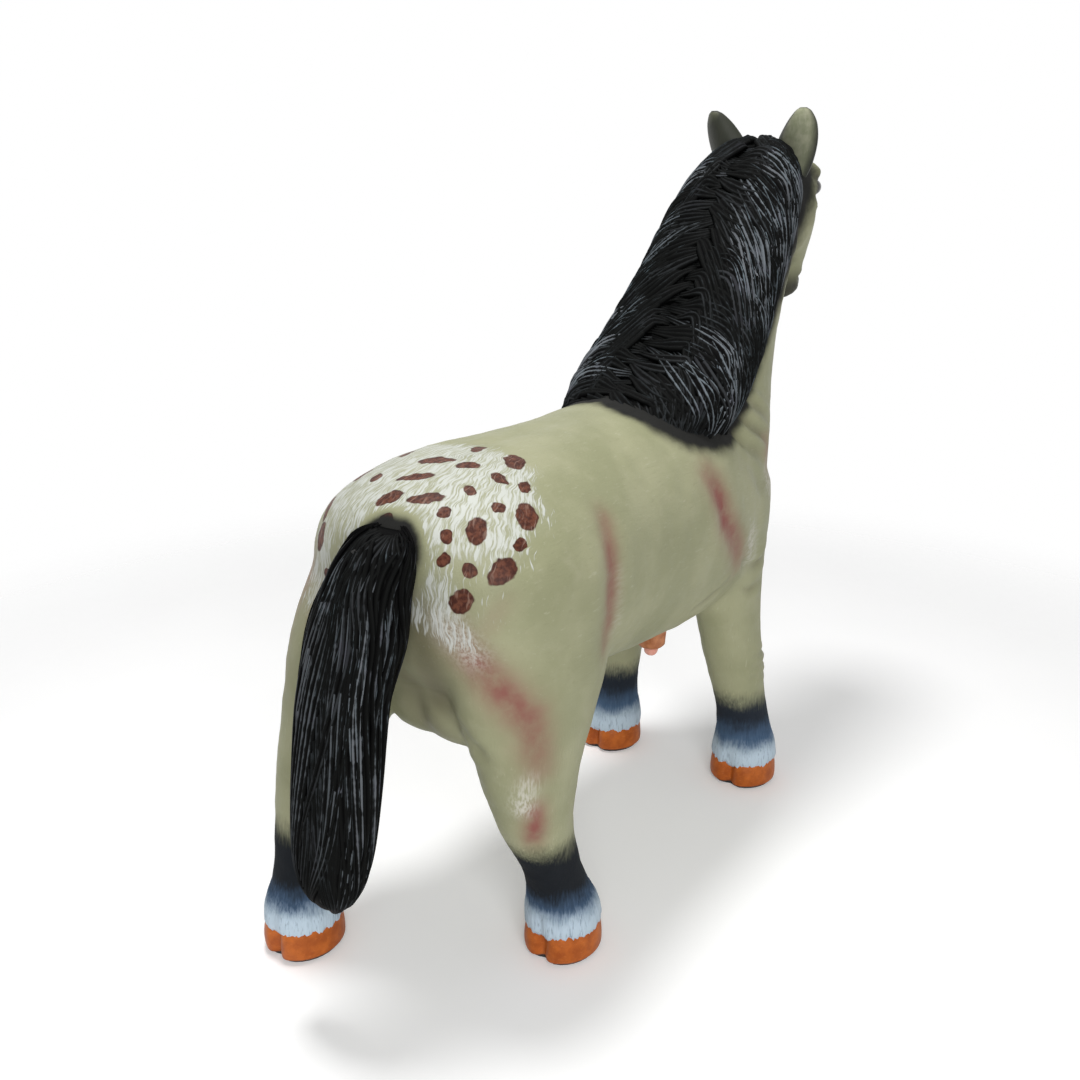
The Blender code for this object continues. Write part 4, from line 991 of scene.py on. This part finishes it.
def build_ear(side):
    """A cupped ear, open to the front and the outside."""
    rows = curve_rows(EAR, 30)
    rings, shade = [], []
    for k, (x, y, z, half) in enumerate(rows):
        t = k / 29
        thick = 0.004 * (1 - 0.6 * t)
        cup = 0.62 * half
        outer, inner = [], []
        for i in range(17):
            u = -1 + i / 8
            bend = cup * (u * u - 0.35)
            wide = 1.12 if side > 0 else 1.0
            px, py = x + (0.007 if side > 0 else 0.0) + half * wide * u * 0.95, y - bend - 0.15 * half * u
            outer.append((px, py + thick, z))
            inner.append((px, py - thick * (0.3 + 0.7 * (1 - u * u)), z))
        ring = outer + inner[::-1]
        rings.append([(side * p[0], p[1], p[2]) for p in ring])
        for i in range(17):
            u = -1 + i / 8
            rim = max(0.0, abs(u) - 0.72) / 0.28
            root = max(0.0, 0.84 - t) * 2.1 * (0.65 - 0.35 * u)
            point = 0.6 * max(0.0, (t - 0.9) / 0.1)
            shade.append(min(1.0, 0.75 * rim + point + root + 0.3 * max(0.0, -u - 0.2)))
        shade.extend([0.95] * 17)
    verts, faces = loft(rings)
    if side > 0:
        faces = [f[::-1] for f in faces]
    ob = add_mesh("ear_leaf_left" if side > 0 else "ear_leaf_right", verts + SHIFT, faces)
    keep_rest(ob)
    shade = np.array(shade)
    if side > 0:
        shade = np.clip(shade + 0.74, 0, 0.97)
    keep_value(ob, "shade", shade)
    return ob


def build_eye(side):
    centre = np.array((side * 0.0715, -0.574, 1.116)) + SHIFT
    verts, faces = ball(centre, 0.014, 40, 24)
    return add_mesh("eyeball_left" if side > 0 else "eyeball_right", verts, faces)


def build_hoof(name, rows, size):
    x, y = rows[-1][1], rows[-1][2]
    rings, sole = [], []
    count = 96
    for z, factor in curve_rows(HOOF_LEVELS, 34):
        a = turn_angles(count)
        turn = np.arctan2(np.sin(a), np.cos(a))
        notch = 0.22 * np.exp(-(turn / 0.18) ** 2)
        lobes = 0.045 * np.exp(-((np.abs(turn) - 0.6) / 0.34) ** 2)
        bulge = math.sin(math.pi * min(1.0, max(0.0, (z - 0.005) / 0.056)))
        reach = factor * (1 - notch + lobes * bulge - 0.02)
        wave = 0.006 * np.sin(5 * a + 1.3 * x * 40) * bulge * 0.35
        reach = reach + wave
        rings.append(np.stack((x + size[0] * reach * np.sin(a), y + size[1] * reach * np.cos(a),
                               np.full(count, z)), 1))
        sole.extend([float(max(0.0, 1 - (z - 0.0053) / 0.004) * 0.6)] * count)
    verts, faces = loft(rings)
    verts = np.array(verts)
    ob = add_mesh("hoof_skin_" + name, verts + SHIFT, [f[::-1] for f in faces])
    keep_rest(ob)
    keep_value(ob, "sole", sole)
    return ob


def build_cuff(name, rows, rng):
    """The painted fur that hangs over the top of a hoof in points."""
    rows = curve_rows(rows, 200)
    count = 150
    angles = turn_angles(count)
    tuft = np.zeros(count)
    drop = np.zeros(count)
    for k in range(38):
        centre = 2 * math.pi * (k + rng.uniform(-0.45, 0.45)) / 38
        gap = np.abs((angles - centre + math.pi) % (2 * math.pi) - math.pi)
        shape = np.clip(1 - gap / (rng.uniform(0.6, 1.3) * 2 * math.pi / 38), 0, 1)
        drop = np.maximum(drop, 0.004 + step(shape, 0.0, 1.0) * rng.uniform(0.003, 0.009))
        tuft = np.maximum(tuft, shape ** 0.6)
    rings = []
    levels = 26
    for j in range(levels):
        t = j / (levels - 1)
        low = 0.053 - drop
        z = 0.128 + (low - 0.128) * t
        mid_z = float(np.mean(z))
        row = rows[np.argmin(np.abs(rows[:, 0] - mid_z))]
        grow = -0.003 + 0.009 * t ** 1.3
        fur = 0.0018 * (tuft - 0.5) * step(t, 0.1, 0.7) + 0.0007 * np.sin(angles * 61 + 5 * t)
        if t > 0.86:
            grow = grow - 0.004 * ((t - 0.86) / 0.14) ** 2
        r = grow + fur
        heel = 1 - 0.1 * np.exp(-((angles - math.pi / 2) / 0.2) ** 2) * t
        rings.append(np.stack((row[1] + (row[3] + r) * np.cos(angles) * heel,
                               row[2] + (row[4] + r) * np.sin(angles) * heel, z), 1))
    inner = rings[-1].copy()
    inner[:, 0] = row[1] + (inner[:, 0] - row[1]) * 0.86
    inner[:, 1] = row[2] + (inner[:, 1] - row[2]) * 0.86
    inner[:, 2] += 0.004
    rings.append(inner)
    verts, faces = loft(rings, False)
    ob = add_mesh("fur_cuff_" + name, verts + SHIFT, [f[::-1] for f in faces])
    keep_rest(ob)
    for key in ("crease", "blush", "pale", "blanket", "airbrush_and_shade", "muzzle"):
        keep_value(ob, key, np.zeros(len(ob.data.vertices)))
    return ob


def lumpy_lathe(name, centre, profile, wobble, folds, count=60):
    rings = []
    for k, (radius, z) in enumerate(curve_rows(profile, 40)):
        a = turn_angles(count)
        wave = wobble * np.sin(folds * a + 0.12 * k) + 0.5 * wobble * np.sin((folds + 3) * a - 0.2 * k)
        r = radius * (1 + wave)
        rings.append(np.stack((centre[0] + r * np.cos(a), centre[1] + r * np.sin(a), np.full(count, z)), 1))
    verts, faces = loft(rings)
    return add_mesh(name, verts + SHIFT, faces)


# ---- put together

rng = random.Random(RANDOM_SEED)
skin = build_skin()
crease = sculpt_skin(skin)
mane_base = build_mane_base()


def tree_of(*obs):
    verts, faces, base = [], [], 0
    for ob in obs:
        verts.extend([tuple(v) for v in points(ob.data)])
        faces.extend(tuple(i + base for i in p.vertices) for p in ob.data.polygons)
        base += len(ob.data.vertices)
    return BVHTree.FromPolygons(verts, faces)


skin_tree = tree_of(skin)
both_tree = tree_of(skin, mane_base)
mane_locks = build_mane(both_tree, rng)
tail_base, tail_locks = build_tail(rng)
forelock = build_forelock(skin_tree, rng)
hair_tree = tree_of(mane_base, mane_locks)
tail_tree = tree_of(tail_base)
paint_skin(skin, crease, hair_tree, tail_tree)

skin_paint = skin_material(spot_places(skin_tree))
mane_paint = hair_material("mane_paint", 0.8)
tail_paint = hair_material("tail_paint", 0.75)
hoof_paint = hoof_material()
ear_paint = ear_material()
eye_paint = simple_material("eye_gloss_paint", (0.006, 0.005, 0.004), (0.012, 0.009, 0.007), 30.0, 0.06,
                            bump=0.0, coat=1.0)
# slot: (name, dark, light, scale of the mottling, roughness, other settings)
PLAIN = {
    "zinc_bolt": ("zinc", (0.36, 0.36, 0.35), (0.52, 0.52, 0.5), 90.0, 0.35, dict(metallic=1.0)),
    "frame_steel": ("frame_paint", (0.06, 0.064, 0.068), (0.11, 0.115, 0.12), 25.0, 0.45, {}),
    "bright_steel": ("turned_steel", (0.42, 0.43, 0.44), (0.58, 0.59, 0.6), 60.0, 0.28,
                     dict(metallic=1.0, stretch=(1.0, 9.0, 9.0))),
    "plywood": ("ply", (0.36, 0.24, 0.13), (0.54, 0.4, 0.24), 18.0, 0.7,
                dict(stretch=(1.0, 1.0, 7.0), bump=0.3)),
    "tray_aluminium": ("aluminium", (0.5, 0.51, 0.52), (0.66, 0.67, 0.68), 30.0, 0.4,
                       dict(metallic=1.0, stretch=(1.0, 12.0, 1.0))),
    "black_rubber": ("rubber", (0.016, 0.016, 0.016), (0.034, 0.034, 0.033), 70.0, 0.8, dict(bump=0.4)),
    "dark_housing": ("housing", (0.075, 0.082, 0.088), (0.12, 0.13, 0.14), 120.0, 0.55, dict(bump=0.25)),
    "brown_collar": ("collar_paint", (0.3, 0.085, 0.02), (0.5, 0.2, 0.08), 60.0, 0.5,
                     dict(bump=0.5, depth=0.002)),
    "pink_stopper": ("nub_paint", (0.62, 0.24, 0.17), (0.8, 0.42, 0.34), 50.0, 0.45,
                     dict(bump=0.4, depth=0.002)),
}
PAINTS = {slot: simple_material(*row[:-1], **row[-1]) for slot, row in PLAIN.items()}
PAINTS.update(painted_shell=ear_paint, black_hair=mane_paint, eye_gloss=eye_paint, orange_hoof=hoof_paint)


def wear(ob, material):
    ob.data.materials.clear()
    ob.data.materials.append(material)


wear(skin, skin_paint)
JOINT = Vector(HINGE)
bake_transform(skin)
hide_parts("torso_shell", "neck_shell", "head_shell", "neck_sleeve",
            *["leg_shell_" + name for name in LEGS])
for ob in (mane_base, mane_locks):
    wear(ob, mane_paint)
    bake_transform(ob)
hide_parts("mane")
wear(forelock, mane_paint)
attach(forelock, "neck_and_head")
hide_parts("forelock")
for ob in (tail_base, tail_locks):
    wear(ob, tail_paint)
    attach(ob, "tail_assembly")
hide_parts("tail")
for side, word in ((-1, "right"), (1, "left")):
    ear = build_ear(side)
    wear(ear, ear_paint)
    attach(ear, "neck_and_head")
    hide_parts("ear_" + word)
    eye = build_eye(side)
    wear(eye, eye_paint)
    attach(eye, "neck_and_head")
    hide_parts("eye_" + word)
for name, rows in LEGS.items():
    hoof = build_hoof(name, rows, HOOF_SIZE[name.split("_")[0]])
    wear(hoof, hoof_paint)
    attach(hoof, "figure")
    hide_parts("hoof_" + name)
    cuff = build_cuff(name, rows, rng)
    wear(cuff, skin_paint)
    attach(cuff, "figure")
collar = lumpy_lathe("collar_skin", (-0.05, -0.085), (
    (0.0128, 0.366), (0.0145, 0.358), (0.019, 0.356), (0.0232, 0.36), (0.0245, 0.37), (0.0255, 0.385),
    (0.027, 0.405)), 0.03, 5)
wear(collar, PAINTS["brown_collar"])
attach(collar, "figure")
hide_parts("belly_collar")
nub = lumpy_lathe("nub_skin", (-0.05, -0.085), (
    (0.002, 0.3385), (0.007, 0.3388), (0.0105, 0.342), (0.0122, 0.348), (0.0118, 0.354), (0.012, 0.362),
    (0.012, 0.38), (0.01, 0.399)), 0.03, 3)
wear(nub, PAINTS["pink_stopper"])
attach(nub, "stopper_assembly")
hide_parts("belly_stopper")

for part in frame["record"]["subparts"]:
    node = frame["nodes"][part["node"]]
    if not node.hide_render:
        node.data.materials.clear()
        node.data.materials.append(PAINTS[part["material_slot"]])
# the stem's end shows between the tail's locks, so it is black as they are
stem = frame["nodes"]["tail_stem"]
stem.data.materials.clear()
stem.data.materials.append(PAINTS["black_rubber"])

# ---- floor, light and camera

floor = add_mesh("floor", ((-9, -9, 0), (9, -9, 0), (9, 9, 0), (-9, 9, 0)), ((0, 1, 2, 3),), False)
f = Paint("floor_white")
tone = f.noise(f.place(), 3.0, 2.0)
f.finish(f.mix(f.span(tone, 0.2, 0.8), (0.9, 0.9, 0.9), (0.92, 0.92, 0.92)), 0.9)
seen = f.add("ShaderNodeLightPath").outputs["Is Camera Ray"]
glow = f.add("ShaderNodeEmission", {"Color": (1.0, 1.0, 1.0), "Strength": f.times(seen, FLOOR_GLOW)})
lit = f.add("ShaderNodeAddShader", {0: f.shader.outputs[0], 1: glow.outputs[0]})
fade = f.span(f.vector("LENGTH", f.place()), *FLOOR_FADE)
ground = f.add("ShaderNodeMixShader", {0: fade, 1: lit.outputs[0],
                                       2: f.add("ShaderNodeBsdfTransparent").outputs[0]})
f.put(f.tree.nodes["Material Output"].inputs["Surface"], ground.outputs[0])
floor.data.materials.append(f.mat)

world = bpy.data.worlds.new("studio")
bpy.context.scene.world = world
world.use_nodes = True
w = Nodes(world.node_tree)
back = w.tree.nodes["Background"]
w.put(back.inputs[0], (1.0, 1.0, 1.0))
w.put(back.inputs[1], WORLD_LIGHT)
white = w.add("ShaderNodeBackground", {0: (1.0, 1.0, 1.0), 1: 1.0})
ray = w.add("ShaderNodeLightPath").outputs
reflected = w.math("MAXIMUM", ray["Is Glossy Ray"], ray["Is Transmission Ray"])
shown = w.math("MAXIMUM", ray["Is Camera Ray"], reflected)
choose = w.add("ShaderNodeMixShader", {0: shown, 1: back.outputs[0], 2: white.outputs[0]})
w.put(w.tree.nodes["World Output"].inputs[0], choose.outputs[0])


def area_light(name, at, aim, size, watts):
    data = bpy.data.lights.new(name, "AREA")
    data.shape = "DISK"
    data.size = size
    data.energy = watts
    ob = linked(bpy.data.objects.new(name, data))
    ob.location = at
    ob.rotation_euler = (Vector(aim) - Vector(at)).to_track_quat("-Z", "Y").to_euler()


area_light("key", *KEY_LAMP)
area_light("fill", *FILL_LAMP)

camera = linked(bpy.data.objects.new("camera", bpy.data.cameras.new("camera")))
camera.data.sensor_width = 36.0
camera.data.lens = CAMERA_LENS
camera.location = CAMERA_AT
down = math.radians(CAMERA_DOWN)
look = Vector((CAMERA_ALONG[0] * math.cos(down), CAMERA_ALONG[1] * math.cos(down), -math.sin(down)))
camera.rotation_euler = look.to_track_quat("-Z", "Y").to_euler()
bpy.context.scene.camera = camera
bpy.context.scene.view_settings.view_transform = "Standard"
